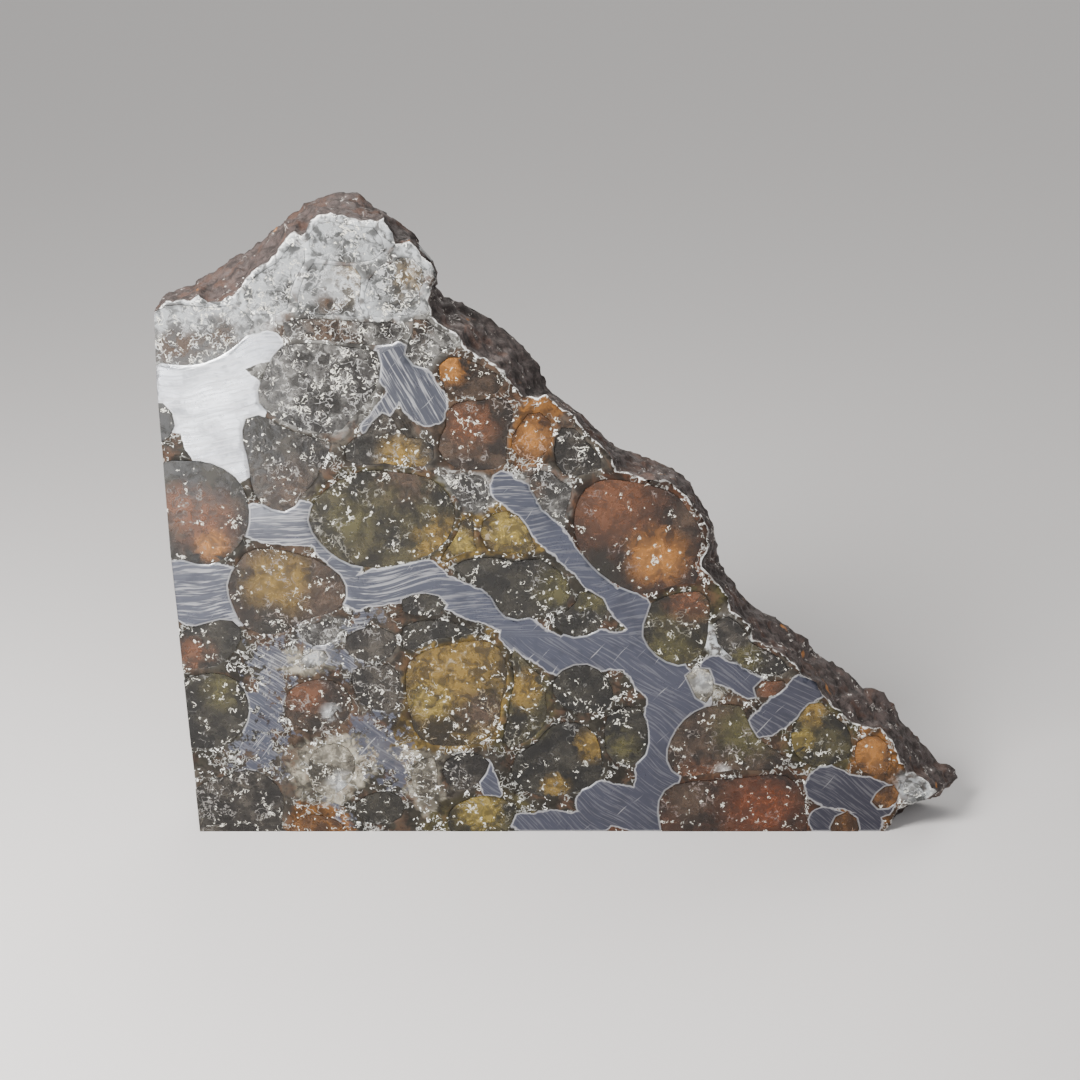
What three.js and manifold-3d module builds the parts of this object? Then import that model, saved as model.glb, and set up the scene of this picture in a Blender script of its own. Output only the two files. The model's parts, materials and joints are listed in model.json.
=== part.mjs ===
// A sawn slice of pallasite: one iron-nickel network that holds olivine crystals.
// It stands on its sawn base. The polished face looks along -Y, the plain sawn back along +Y,
// the left side is sawn too, and the top and the right side are the meteorite's broken skin.
import * as THREE from "three";
import { mergeVertices } from "three/addons/utils/BufferGeometryUtils.js";
import Module from "manifold-3d";

const wasm = await Module();
wasm.setup();

// Driving dimensions, in millimetres
const BASE_LENGTH = 46; // sawn base, along the polished face
const THICKNESS = 4.2; // from the polished face to the sawn back
const JOINT_GAP = 0.08; // hairline between a crystal and what holds it
const OUTLINE_STEP = 0.82; // length of one facet on a crystal's outline
const DRIFT = 0.6; // how far the whole pattern bends aside between the two faces
const DRIFT_PERIOD = 34; // length of that bend's wave
const SKIN_STEPS = 6; // rows of facets across the broken skin
const LUMP_HEIGHT = 0.45; // of the lumps on the broken skin
const PIT_DEPTH = 0.12; // of the hollows between them
const SAW_MARGIN = 4; // the rough lump stands this far past the saw cuts
const HEAD_ROOM = 16; // and the saw's block stands this far above the sawn left side
const SMALLEST_PIECE = 0.6; // cubic millimetres, below which a sliver fell out under the saw
const BACK_SHARE = [0.76, 0.93]; // a crystal's size at the back, against the face
const GOLDEN = 0.618; // spreads the crystals' sizes evenly between those two
const FEWEST_FACETS = 8; // round the smallest crystal
const SAME_POINT = 1e-4; // two corners nearer than this are one

// The photograph that the outlines are traced on, in its own pixels
const PHOTO_FOCAL = 2000;
const PHOTO_CENTRE = 540;
const PHOTO_TILT = THREE.MathUtils.degToRad(21); // how far its view looks down
const BASE_ROW = 831.5; // where the polished face meets the ground
const BASE_LEFT = 200;
const BASE_RIGHT = 885;
const LEFT_CUT = [[200, 831.5], [171, 560], [156.5, 384], [154, 312]]; // it bows out a little

// Where the eye of the photograph stands: far enough for the base to have its real length
const baseDip = PHOTO_TILT + Math.atan((BASE_ROW - PHOTO_CENTRE) / PHOTO_FOCAL);
const baseDepth = (PHOTO_FOCAL * BASE_LENGTH) / (BASE_RIGHT - BASE_LEFT);
const baseRange = baseDepth / Math.cos(baseDip - PHOTO_TILT);
const eyeAway = baseRange * Math.cos(baseDip);
const eyeHeight = baseRange * Math.sin(baseDip);

// A traced pixel, cast onto the plane that lies `behind` millimetres behind the polished face.
// The result is (x, height).
function traced([column, row], behind = 0) {
  const right = (column - PHOTO_CENTRE) / PHOTO_FOCAL;
  const up = (PHOTO_CENTRE - row) / PHOTO_FOCAL;
  const away = Math.cos(PHOTO_TILT) + up * Math.sin(PHOTO_TILT);
  const rise = up * Math.cos(PHOTO_TILT) - Math.sin(PHOTO_TILT);
  const reach = (eyeAway + behind) / away;
  return new THREE.Vector2(reach * right, eyeHeight + reach * rise);
}

// The broken edge, from the top of the left cut round to the base: each station is a pixel on
// the rim of the polished face, then the pixel where the skin reaches the sawn back.
const BROKEN_EDGE = [
  // the crumbled shoulder, upper left
  [[154, 312], [156, 298]],
  [[166, 302], [167, 293]],
  [[178, 299], [181, 288]],
  [[190, 301], [195, 284]],
  [[197, 296], [204, 276]],
  [[207, 303], [214, 271]],
  [[220, 301], [224, 266]],
  [[232, 297], [230, 258]],
  [[241, 288], [241, 254]],
  [[247, 277], [251, 249]],
  [[257, 268], [262, 240]],
  [[270, 261], [271, 231]],
  [[279, 249], [281, 224]],
  [[286, 237], [290, 217]],
  [[294, 231], [298, 210]],
  [[303, 236], [305, 205]],
  // the blunt summit
  [[308, 227], [314, 200]],
  [[317, 215], [324, 196]],
  [[331, 214], [336, 193]],
  [[346, 216], [349, 192]],
  [[358, 220], [360, 195]],
  [[371, 221], [369, 203]],
  [[382, 219], [381, 210]],
  [[389, 229], [391, 217]],
  [[396, 245], [401, 222]],
  [[409, 241], [411, 232]],
  [[421, 255], [422, 248]],
  [[432, 265], [433, 260]],
  [[436, 277], [438, 274]],
  // the notch, and the large lump of crust below it
  [[430, 288], [436, 287]],
  [[429, 303], [446, 297]],
  [[431, 317], [462, 303]],
  [[443, 327], [477, 311]],
  [[458, 335], [492, 320]],
  [[464, 346], [505, 330]],
  [[479, 357], [517, 340]],
  [[495, 363], [528, 352]],
  [[505, 374], [537, 363]],
  [[514, 386], [543, 375]],
  [[524, 398], [548, 388]],
  [[547, 396], [557, 396]],
  [[560, 407], [569, 404]],
  [[575, 417], [583, 415]],
  [[583, 430], [595, 427]],
  [[600, 445], [608, 439]],
  // the ledge over the largest red crystal
  [[611, 457], [618, 448]],
  [[617, 471], [634, 453]],
  [[645, 479], [655, 461]],
  [[672, 483], [676, 471]],
  [[685, 495], [690, 482]],
  [[698, 513], [700, 501]],
  [[708, 527], [711, 519]],
  [[709, 545], [716, 541]],
  [[701, 567], [719, 562]],
  // the long ragged slope
  [[714, 579], [729, 579]],
  [[727, 595], [742, 594]],
  [[731, 610], [755, 607]],
  [[746, 622], [772, 616]],
  [[754, 639], [790, 627]],
  [[778, 651], [808, 640]],
  [[795, 663], [815, 654]],
  [[801, 674], [833, 663]],
  [[815, 683], [849, 674]],
  [[823, 695], [862, 687]],
  [[839, 711], [880, 690]],
  [[856, 725], [893, 703]],
  [[880, 728], [901, 720]],
  [[890, 739], [914, 734]],
  [[898, 756], [927, 748]],
  [[907, 772], [937, 761]],
  // the tip, which overhangs the base
  [[922, 778], [953, 768]],
  [[936, 792], [958, 778]],
  [[925, 800], [949, 787]],
  [[908, 804], [931, 793]],
  [[897, 811], [915, 799]],
  [[890, 822], [903, 806]],
  [[885, 832], [898, 812]],
];

// Each crystal's outline on the polished face, in traced pixels. The name says where it sits.
const CRYSTALS = {
  // frosted crystals of the summit
  olivine_shoulder: [
    [148, 324], [166, 306], [190, 306], [215, 308], [234, 305], [244, 313], [254, 323],
    [250, 331], [236, 345], [222, 355], [200, 364], [178, 365], [148, 357],
  ],
  olivine_cream: [
    [244, 297], [253, 279], [268, 268], [282, 259], [290, 244], [301, 244], [306, 256],
    [299, 272], [290, 290], [288, 307], [270, 315], [255, 310],
  ],
  olivine_summit: [
    [318, 224], [335, 222], [356, 227], [374, 228], [381, 238], [386, 247], [380, 256],
    [361, 262], [335, 261], [316, 257], [309, 243], [311, 230],
  ],
  olivine_notch: [
    [400, 258], [409, 256], [418, 265], [425, 273], [424, 281], [419, 289], [420, 304],
    [414, 313], [394, 316], [374, 317], [365, 305], [367, 285], [377, 270], [389, 265],
  ],
  olivine_granular: [
    [313, 264], [335, 266], [357, 268], [361, 284], [358, 303], [364, 316], [340, 315],
    [315, 314], [300, 313], [298, 296], [304, 279],
  ],
  olivine_band: [
    [283, 323], [310, 319], [345, 321], [371, 323], [396, 323], [406, 330], [400, 340],
    [392, 344], [360, 344], [325, 340], [296, 339], [284, 333],
  ],
  olivine_grey: [
    [414, 320], [425, 319], [437, 330], [452, 338], [455, 345], [448, 348], [436, 354],
    [427, 368], [416, 366], [407, 357], [404, 348], [412, 340],
  ],
  // the glittering middle of the upper half
  olivine_amber_spot: [
    [439, 366], [448, 358], [463, 358], [477, 364], [491, 371], [502, 379], [501, 391],
    [480, 395], [462, 397], [449, 393], [441, 381],
  ],
  olivine_glitter: [
    [283, 346], [300, 344], [330, 345], [360, 349], [377, 352], [380, 370], [374, 391],
    [364, 404], [351, 419], [338, 432], [316, 432], [290, 424], [266, 411], [258, 399],
    [262, 379], [271, 360],
  ],
  olivine_smoke: [
    [246, 419], [262, 416], [288, 430], [314, 438], [332, 444], [322, 462], [316, 479],
    [303, 494], [289, 511], [270, 508], [258, 500], [251, 482], [249, 462], [243, 440],
  ],
  olivine_tawny: [
    [366, 433], [378, 416], [389, 413], [396, 428], [408, 438], [427, 440], [435, 451],
    [429, 464], [405, 467], [385, 463], [362, 465], [347, 461], [345, 448], [353, 440],
  ],
  olivine_brown: [
    [446, 413], [457, 403], [480, 401], [504, 398], [513, 409], [510, 426], [505, 443],
    [508, 458], [497, 468], [478, 470], [456, 468], [443, 458], [438, 444], [446, 427],
  ],
  olivine_orange: [
    [520, 425], [532, 412], [546, 416], [553, 431], [549, 448], [537, 459], [520, 457],
    [511, 446], [514, 433],
  ],
  olivine_bottle: [
    [562, 428], [573, 428], [588, 444], [598, 454], [603, 466], [599, 470], [584, 474],
    [566, 476], [556, 462], [555, 445],
  ],
  olivine_speckled: [
    [530, 477], [547, 470], [561, 482], [573, 487], [567, 505], [565, 519], [558, 517],
    [546, 514], [538, 500], [531, 489],
  ],
  olivine_red: [
    [586, 489], [604, 480], [632, 482], [659, 488], [677, 496], [689, 512], [700, 528],
    [701, 546], [693, 565], [700, 581], [682, 584], [664, 588], [648, 594], [628, 590],
    [605, 577], [589, 562], [578, 545], [574, 522], [577, 504],
  ],
  // the left half, along the sawn side
  olivine_edge_chip: [
    [150, 403], [163, 404], [172, 414], [174, 428], [166, 440], [150, 444],
  ],
  olivine_rust: [
    [160, 464], [186, 461], [208, 463], [228, 472], [242, 486], [248, 505], [247, 530],
    [237, 547], [222, 560], [204, 565], [184, 560], [166, 556], [160, 510],
  ],
  olivine_amber: [
    [237, 564], [249, 551], [268, 549], [298, 554], [322, 563], [341, 577], [346, 594],
    [338, 610], [318, 616], [300, 622], [284, 632], [262, 634], [244, 626], [234, 608],
    [228, 586],
  ],
  olivine_fawn: [
    [298, 630], [315, 624], [332, 621], [340, 631], [331, 642], [317, 646], [303, 641],
  ],
  olivine_left_russet: [
    [176, 637], [206, 624], [228, 620], [240, 627], [240, 641], [232, 654], [218, 665],
    [202, 668], [178, 666],
  ],
  olivine_left_shaded: [
    [178, 684], [206, 674], [222, 674], [239, 683], [247, 698], [248, 716], [240, 734],
    [222, 746], [204, 748], [182, 744],
  ],
  olivine_chestnut: [
    [284, 703], [292, 688], [308, 681], [328, 680], [345, 689], [352, 704], [347, 718],
    [334, 728], [314, 731], [296, 726], [286, 716],
  ],
  olivine_bead: [
    [300, 661], [309, 653], [321, 650], [329, 655], [322, 664], [311, 668], [302, 667],
  ],
  olivine_umber: [
    [347, 637], [362, 629], [381, 628], [394, 634], [396, 648], [386, 659], [366, 661],
    [350, 655], [344, 646],
  ],
  olivine_ash: [
    [353, 670], [372, 667], [391, 665], [399, 677], [399, 694], [394, 708], [380, 711],
    [362, 704], [354, 690],
  ],
  olivine_pale: [
    [308, 770], [314, 752], [328, 744], [344, 746], [354, 758], [354, 774], [344, 788],
    [328, 796], [314, 790],
  ],
  olivine_corner: [
    [192, 792], [226, 776], [250, 770], [272, 780], [283, 796], [282, 814], [276, 840],
    [192, 840],
  ],
  olivine_base_orange: [
    [292, 824], [306, 815], [328, 817], [344, 825], [347, 840], [290, 840],
  ],
  olivine_base_shaded: [
    [356, 804], [372, 794], [392, 792], [404, 802], [402, 816], [386, 824], [366, 822],
    [356, 814],
  ],
  // the green and golden heart
  olivine_green: [
    [309, 520], [313, 505], [324, 492], [344, 478], [366, 471], [392, 472], [416, 475],
    [437, 483], [449, 496], [455, 514], [451, 532], [440, 547], [424, 557], [400, 564],
    [372, 567], [350, 564], [330, 552], [316, 537],
  ],
  olivine_moss: [
    [441, 475], [462, 475], [482, 477], [490, 488], [489, 500], [479, 508], [466, 510],
    [458, 501], [452, 489],
  ],
  olivine_gold: [
    [483, 522], [496, 513], [512, 512], [523, 522], [532, 538], [536, 548], [525, 554],
    [508, 552], [491, 550], [481, 538],
  ],
  olivine_sparkle: [
    [461, 521], [473, 517], [474, 530], [473, 543], [477, 550], [464, 552], [449, 558],
    [440, 561], [447, 549], [457, 535],
  ],
  olivine_dark: [
    [453, 567], [472, 559], [494, 558], [516, 562], [538, 559], [553, 567], [566, 579],
    [571, 592], [564, 605], [548, 611], [530, 617], [510, 619], [498, 608], [490, 594],
    [474, 584],
  ],
  olivine_islet: [
    [402, 600], [414, 595], [432, 595], [445, 601], [445, 611], [430, 615], [412, 615],
    [402, 610],
  ],
  olivine_cove: [
    [580, 592], [596, 595], [607, 605], [604, 619], [599, 629], [584, 636], [568, 636],
    [556, 628], [552, 619], [567, 611], [576, 602],
  ],
  olivine_olive: [
    [404, 627], [424, 621], [446, 621], [465, 627], [474, 632], [460, 636], [440, 638],
    [423, 643], [408, 652], [402, 640],
  ],
  olivine_honey: [
    [409, 663], [426, 651], [448, 645], [472, 641], [492, 643], [503, 655], [507, 676],
    [501, 700], [499, 722], [489, 738], [472, 744], [450, 746], [430, 744], [416, 734],
    [410, 712], [406, 688],
  ],
  olivine_feather: [
    [514, 649], [524, 660], [536, 672], [546, 683], [545, 700], [547, 716], [539, 732],
    [524, 742], [507, 748], [503, 737], [508, 718], [511, 698], [515, 677], [511, 661],
  ],
  olivine_round_dark: [
    [554, 680], [566, 669], [586, 665], [602, 673], [612, 688], [613, 701], [603, 711],
    [584, 713], [564, 707], [554, 696],
  ],
  olivine_tall_green: [
    [607, 718], [624, 707], [641, 711], [647, 728], [647, 748], [640, 761], [622, 765],
    [609, 757], [605, 740],
  ],
  olivine_dark_hollow: [
    [516, 757], [536, 743], [556, 724], [583, 725], [597, 738], [601, 756], [603, 772],
    [592, 785], [570, 793], [546, 797], [526, 791], [512, 776],
  ],
  olivine_glinting: [
    [446, 761], [462, 753], [480, 755], [489, 761], [485, 774], [474, 786], [456, 790],
    [446, 782], [443, 770],
  ],
  olivine_khaki: [
    [422, 759], [433, 757], [437, 770], [436, 786], [429, 797], [418, 797], [412, 784],
    [414, 768],
  ],
  olivine_base_yellow: [
    [450, 811], [466, 800], [488, 796], [508, 801], [518, 809], [512, 820], [502, 840],
    [458, 840], [448, 824],
  ],
  // the right half, down to the tip
  olivine_round_olive: [
    [652, 603], [668, 596], [690, 592], [703, 593], [710, 606], [708, 624], [706, 644],
    [698, 657], [682, 665], [664, 660], [650, 648], [643, 632], [648, 615],
  ],
  olivine_slope: [
    [717, 621], [731, 617], [743, 629], [751, 643], [771, 653], [785, 663], [789, 672],
    [779, 675], [758, 672], [739, 665], [732, 655], [721, 649], [716, 636],
  ],
  olivine_wedge: [
    [762, 681], [776, 682], [788, 681], [783, 690], [770, 697], [757, 697], [754, 690],
  ],
  olivine_chalk: [
    [686, 676], [698, 668], [708, 669], [713, 681], [712, 696], [704, 704], [698, 700],
    [692, 688],
  ],
  olivine_russet: [
    [672, 739], [684, 721], [702, 709], [722, 705], [741, 706], [748, 723], [758, 739],
    [773, 749], [784, 757], [781, 766], [762, 770], [735, 770], [705, 774], [680, 776],
    [669, 764], [668, 751],
  ],
  olivine_base_red: [
    [660, 801], [670, 787], [692, 782], [720, 780], [752, 777], [782, 775], [796, 783],
    [804, 800], [806, 822], [804, 840], [668, 840], [660, 820],
  ],
  olivine_right_gold: [
    [796, 723], [808, 705], [822, 703], [833, 716], [848, 728], [851, 742], [849, 757],
    [836, 763], [818, 767], [802, 761], [793, 748], [791, 735],
  ],
  olivine_right_orange: [
    [857, 743], [868, 736], [882, 738], [889, 750], [892, 764], [884, 774], [868, 774],
    [857, 766],
  ],
  olivine_tip_orange: [
    [872, 802], [882, 789], [893, 785], [899, 796], [892, 806], [880, 809],
  ],
  olivine_base_bead: [
    [836, 817], [846, 812], [856, 818], [859, 828], [854, 840], [834, 840], [831, 826],
  ],
  olivine_tip: [
    [905, 782], [914, 783], [922, 787], [923, 792], [915, 796], [907, 795], [902, 789],
  ],
};

// Finishes as the photograph shows them
const METAL_FINISH = { color: 0x8a8c94, roughness: 0.35, metalness: 1 };
const OLIVINE_TINTS = {
  frosted: 0x8f8d80,
  amber: 0x9a6a2c,
  red: 0x7a4426,
  green: 0x4f4a38,
  gold: 0x9c8440,
};
const TINT_OF = {
  frosted: [
    "shoulder", "cream", "summit", "notch", "granular", "band", "grey", "chalk", "tip", "pale", "bead",
  ],
  amber: [
    "amber_spot", "amber", "orange", "right_orange", "tip_orange", "base_bead", "tawny",
    "base_yellow", "wedge",
  ],
  red: [
    "red", "rust", "russet", "base_red", "left_russet", "base_orange", "chestnut", "edge_chip", "fawn",
  ],
  gold: ["gold", "honey", "feather", "khaki", "right_gold"],
};

// The network and every crystal are moved together at the end, so the parts share one frame here:
// x and height as traced, and depth from 0 at the sawn back to THICKNESS at the polished face.

// A prism between the two sawn faces, whose sections are set by `section(index, toBack)`:
// index counts the outline's points, and toBack runs from 0 at the polished face to 1 at the back.
// Each sawn face is filled within its own section, because the two sections differ in shape.
function prism(outline, steps, section) {
  const order = outline.map((_, i) => i);
  if (THREE.ShapeUtils.isClockWise(outline)) order.reverse();
  const count = order.length;
  const sections = [];
  for (let step = 0; step <= steps; step++) {
    sections.push(order.map((i) => section(i, step / steps)));
  }
  const corners = sections.flatMap((points, step) => {
    const depth = THICKNESS * (1 - step / steps);
    return points.flatMap(({ x, y }) => [x, y, depth]);
  });
  const walls = sections.slice(1).flatMap((_, step) => {
    return order.flatMap((_, i) => {
      const [here, next] = [i, (i + 1) % count].map((k) => step * count + k);
      return [here + count, next + count, next, here + count, next, here];
    });
  });
  const front = THREE.ShapeUtils.triangulateShape(sections[0], []).flat();
  const back = THREE.ShapeUtils.triangulateShape(sections[steps], []).flatMap(([p, q, r]) => [r, q, p]);
  const geometry = new THREE.BufferGeometry();
  geometry.setAttribute("position", new THREE.Float32BufferAttribute(corners, 3));
  return geometry.setIndex([...front, ...walls, ...back.map((corner) => steps * count + corner)]);
}

function solidOf(geometry) {
  const bare = geometry.clone();
  bare.deleteAttribute("normal");
  bare.deleteAttribute("uv");
  const merged = mergeVertices(bare, SAME_POINT);
  return new wasm.Manifold(
    new wasm.Mesh({
      numProp: 3,
      vertProperties: merged.getAttribute("position").array,
      triVerts: new Uint32Array(merged.index.array),
    }),
  );
}

function geometryOf(solid) {
  const mesh = solid.getMesh();
  return new THREE.BufferGeometry()
    .setAttribute("position", new THREE.BufferAttribute(mesh.vertProperties, 3))
    .setIndex(new THREE.BufferAttribute(mesh.triVerts, 1));
}

function largestBody(solid) {
  return solid.decompose().sort((a, b) => b.volume() - a.volume())[0];
}

// The rough lump: the traced rim in front, the traced rim behind, and lumps between them
function roughLump() {
  const front = BROKEN_EDGE.map(([rim]) => traced(rim));
  const back = BROKEN_EDGE.map(([, rim]) => traced(rim, THICKNESS));
  const last = front.at(-1);
  const leftOfAll = front[0].x - SAW_MARGIN;
  const surplus = [
    new THREE.Vector2(last.x, -SAW_MARGIN),
    new THREE.Vector2(leftOfAll, -SAW_MARGIN),
    new THREE.Vector2(leftOfAll, front[0].y),
  ];
  const outline = [...front, ...surplus];
  const centre = new THREE.Vector2(last.x / 2, front[0].y / 2);
  return prism(outline, SKIN_STEPS, (i, toBack) => {
    if (i >= front.length) return outline[i];
    const relief = skinRelief(i, toBack);
    const lump = Math.sin(Math.PI * toBack) * relief * (relief > 0 ? LUMP_HEIGHT : PIT_DEPTH);
    const place = front[i].clone().lerp(back[i], toBack);
    const outward = place.clone().sub(centre).normalize();
    return place.addScaledVector(outward, lump);
  });
}

// Uneven relief from -1 to 1 along the broken skin: three waves that never fall in step
const SKIN_WAVES = [
  { share: 0.5, perStation: 1.9, perDepth: 4, start: 0 },
  { share: 0.3, perStation: 0.83, perDepth: -7, start: 1 },
  { share: 0.2, perStation: 3.1, perDepth: 9, start: 2 },
];

function skinRelief(station, toBack) {
  return SKIN_WAVES.reduce((sum, { share, perStation, perDepth, start }) => {
    return sum + share * Math.sin(perStation * station + perDepth * toBack + start);
  }, 0);
}

// What the saw leaves: everything right of the left cut and above the base
function sawBlock() {
  const left = LEFT_CUT.map((pixel) => traced(pixel));
  left[0].setY(0);
  const top = left.at(-1);
  const over = top.y + HEAD_ROOM;
  const shape = new THREE.Shape([
    new THREE.Vector2(BASE_LENGTH, 0),
    new THREE.Vector2(BASE_LENGTH, over),
    new THREE.Vector2(top.x, over),
    ...left.reverse(),
  ]);
  const depth = THICKNESS + 2 * SAW_MARGIN;
  return new THREE.ExtrudeGeometry(shape, { depth, bevelEnabled: false }).translate(0, 0, -SAW_MARGIN);
}

// Facets of even length round the smooth closed curve through the traced corners
function crystalOutline(pixels) {
  const corners = pixels.map((pixel) => {
    const { x, y } = traced(pixel);
    return new THREE.Vector3(x, y, 0);
  });
  const curve = new THREE.CatmullRomCurve3(corners, true, "centripetal");
  const facets = Math.max(FEWEST_FACETS, Math.round(curve.getLength() / OUTLINE_STEP));
  const points = curve.getSpacedPoints(facets).slice(0, facets);
  return points.map(({ x, y }) => new THREE.Vector2(x, y));
}

// The outline moved outwards by `gap` all round
function widened(outline, gap) {
  const turn = THREE.ShapeUtils.area(outline) > 0 ? 1 : -1;
  return outline.map((point, i) => {
    const before = outline.at(i - 1);
    const after = outline[(i + 1) % outline.length];
    const along = after.clone().sub(before).normalize();
    return new THREE.Vector2(point.x + turn * gap * along.y, point.y - turn * gap * along.x);
  });
}

// Where a point of the pattern has moved to at the sawn back. All crystals share this one slow
// bend, so neighbours never run into each other.
function drifted({ x, y }) {
  const phase = (2 * Math.PI) / DRIFT_PERIOD;
  return new THREE.Vector2(x + DRIFT * Math.sin(phase * y), y + DRIFT * Math.cos(phase * x));
}

// A crystal goes right through the slice, and its section shrinks a little on the way to the back
function crystalPrism(outline, number, gap) {
  const ends = outline.map(drifted);
  const centre = ends.reduce((sum, p) => sum.add(p), new THREE.Vector2()).divideScalar(ends.length);
  const share = THREE.MathUtils.lerp(...BACK_SHARE, (number * GOLDEN) % 1);
  const front = gap ? widened(outline, gap) : outline;
  return prism(front, 1, (i, toBack) => {
    const back = ends[i].clone().sub(centre).multiplyScalar(share).add(centre);
    const rim = front[i].clone().sub(outline[i]);
    return outline[i].clone().lerp(back, toBack).add(rim);
  });
}

const slice = solidOf(roughLump()).intersect(solidOf(sawBlock()));

// Crystals are set one after another: a later one is cut back where it meets an earlier one
let network = slice;
const olivines = [];
Object.entries(CRYSTALS).forEach(([name, pixels], number) => {
  const outline = crystalOutline(pixels);
  const crystal = solidOf(crystalPrism(outline, number, 0));
  const pocket = solidOf(crystalPrism(outline, number, JOINT_GAP));
  const taken = olivines.reduce((rest, earlier) => rest.subtract(earlier.pocket), crystal.intersect(slice));
  olivines.push({ name, pocket, solid: largestBody(taken) });
  network = network.subtract(pocket);
});

const tintNamed = (name) => {
  const key = name.replace("olivine_", "");
  const tint = Object.keys(TINT_OF).find((candidate) => TINT_OF[candidate].includes(key));
  return OLIVINE_TINTS[tint ?? "green"];
};

function part(name, solid, finish) {
  const mesh = new THREE.Mesh(geometryOf(solid), new THREE.MeshStandardMaterial(finish));
  mesh.name = name;
  return mesh;
}

const meteorite = new THREE.Group();
const metalBodies = network
  .decompose()
  .filter((body) => body.volume() > SMALLEST_PIECE)
  .sort((a, b) => b.volume() - a.volume());
metalBodies.forEach((body, i) => {
  meteorite.add(part(i === 0 ? "iron_nickel_network" : `metal_island_${i}`, body, METAL_FINISH));
});
olivines.forEach(({ name, solid }) => {
  meteorite.add(part(name, solid, { color: tintNamed(name), roughness: 0.25, metalness: 0 }));
});

// Depth becomes the way to the viewer, and the middle of the whole object's foot the origin
meteorite.children.forEach((mesh) => mesh.geometry.rotateX(Math.PI / 2));
const extent = new THREE.Box3().setFromObject(meteorite);
const middle = extent.getCenter(new THREE.Vector3());
meteorite.position.set(-middle.x, -middle.y, -extent.min.z);

export default meteorite;
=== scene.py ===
# %% [markdown]
# # A sawn slice of a pallasite meteorite
# A pallasite is iron-nickel metal that holds crystals of olivine, a green to orange glassy mineral.
# This slice was sawn on both sides, on its left and on its base, and polished. Along the top and the
# right it keeps its broken, rusty skin. The solids come from CAD, and this lesson gives them the
# finish of the real stone: a finer metal net, worn edges, crumbly crust, and crystals with light in
# them.

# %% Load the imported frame
import json
import math

import bmesh
import bpy
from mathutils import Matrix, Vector
from mathutils.bvhtree import BVHTree
from mathutils.kdtree import KDTree

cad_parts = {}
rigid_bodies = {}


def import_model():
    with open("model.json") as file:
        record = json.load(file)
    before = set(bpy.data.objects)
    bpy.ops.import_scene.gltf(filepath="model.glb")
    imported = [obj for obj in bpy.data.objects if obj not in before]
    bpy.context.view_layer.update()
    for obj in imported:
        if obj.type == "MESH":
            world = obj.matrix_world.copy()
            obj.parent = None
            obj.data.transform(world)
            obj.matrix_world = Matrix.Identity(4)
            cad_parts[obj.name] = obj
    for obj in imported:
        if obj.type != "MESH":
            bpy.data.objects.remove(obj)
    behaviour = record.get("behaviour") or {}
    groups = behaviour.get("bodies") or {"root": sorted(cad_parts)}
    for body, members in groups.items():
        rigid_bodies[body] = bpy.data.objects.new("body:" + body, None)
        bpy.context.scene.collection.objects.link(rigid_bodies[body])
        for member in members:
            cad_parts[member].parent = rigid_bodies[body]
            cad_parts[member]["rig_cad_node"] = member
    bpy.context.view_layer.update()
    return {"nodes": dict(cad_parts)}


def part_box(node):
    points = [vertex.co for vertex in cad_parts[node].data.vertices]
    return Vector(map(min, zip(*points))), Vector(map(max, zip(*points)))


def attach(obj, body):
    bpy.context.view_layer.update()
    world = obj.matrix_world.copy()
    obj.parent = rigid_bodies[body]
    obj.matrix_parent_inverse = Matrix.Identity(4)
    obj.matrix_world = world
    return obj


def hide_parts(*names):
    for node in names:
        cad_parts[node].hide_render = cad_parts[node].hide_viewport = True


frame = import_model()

NODES = frame["nodes"]
print("pieces in the frame:", len(NODES))

# %% [markdown]
# ## Units
# Blender works in metres here, and a meteorite slice is easier to describe in millimetres. One
# factor turns one into the other, both for shapes and inside the materials.

# %% Units and small helpers
MM = 0.001
METAL_NODE = "iron_nickel_network"
CRYSTAL_PREFIX = "olivine_"


def select_only(piece):
    """Deselects everything, then makes this piece the one that operators act on."""
    if bpy.context.object and bpy.context.object.mode != "OBJECT":
        bpy.ops.object.mode_set(mode="OBJECT")
    bpy.ops.object.select_all(action="DESELECT")
    piece.hide_viewport = False
    piece.select_set(True)
    bpy.context.view_layer.objects.active = piece


bpy.ops.object.select_all(action="DESELECT")
print("millimetres per metre:", round(1 / MM))

# %% [markdown]
# ## The camera
# The photograph looks down on the slice by 21 degrees, from straight in front. The camera stands
# where the tracing of the outlines puts it, so that a spot named by its place in the photograph can
# be found on the polished face.

# %% Camera
PHOTO_SIZE = 1080
PHOTO_MIDDLE = PHOTO_SIZE / 2
FOCAL_PIXELS = 2000
SENSOR = 36
LOOK_DOWN = math.radians(21)
EYE = Vector((-2.574, -120.471, 66.406))
FACE_DEPTH = -2.1
NEAREST = 5
FARTHEST = 9000

bpy.ops.object.camera_add(
    location=EYE * MM, rotation=(math.pi / 2 - LOOK_DOWN, 0, 0)
)
camera = bpy.context.object
camera.name = "camera"
camera.data.sensor_width = SENSOR
camera.data.lens = FOCAL_PIXELS / PHOTO_SIZE * SENSOR
camera.data.clip_start = NEAREST * MM
camera.data.clip_end = FARTHEST * MM
bpy.context.scene.camera = camera


def on_face(column, row):
    """The place on the polished face, in millimetres, of a spot of the photograph."""
    across = (column - PHOTO_MIDDLE) / FOCAL_PIXELS
    up = (PHOTO_MIDDLE - row) / FOCAL_PIXELS
    sine, cosine = math.sin(LOOK_DOWN), math.cos(LOOK_DOWN)
    ray = Vector((across, cosine + up * sine, up * cosine - sine))
    reach = (FACE_DEPTH - EYE.y) / ray.y
    return EYE + reach * ray


print("summit in mm:", [round(v, 1) for v in on_face(350, 216)])

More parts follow.
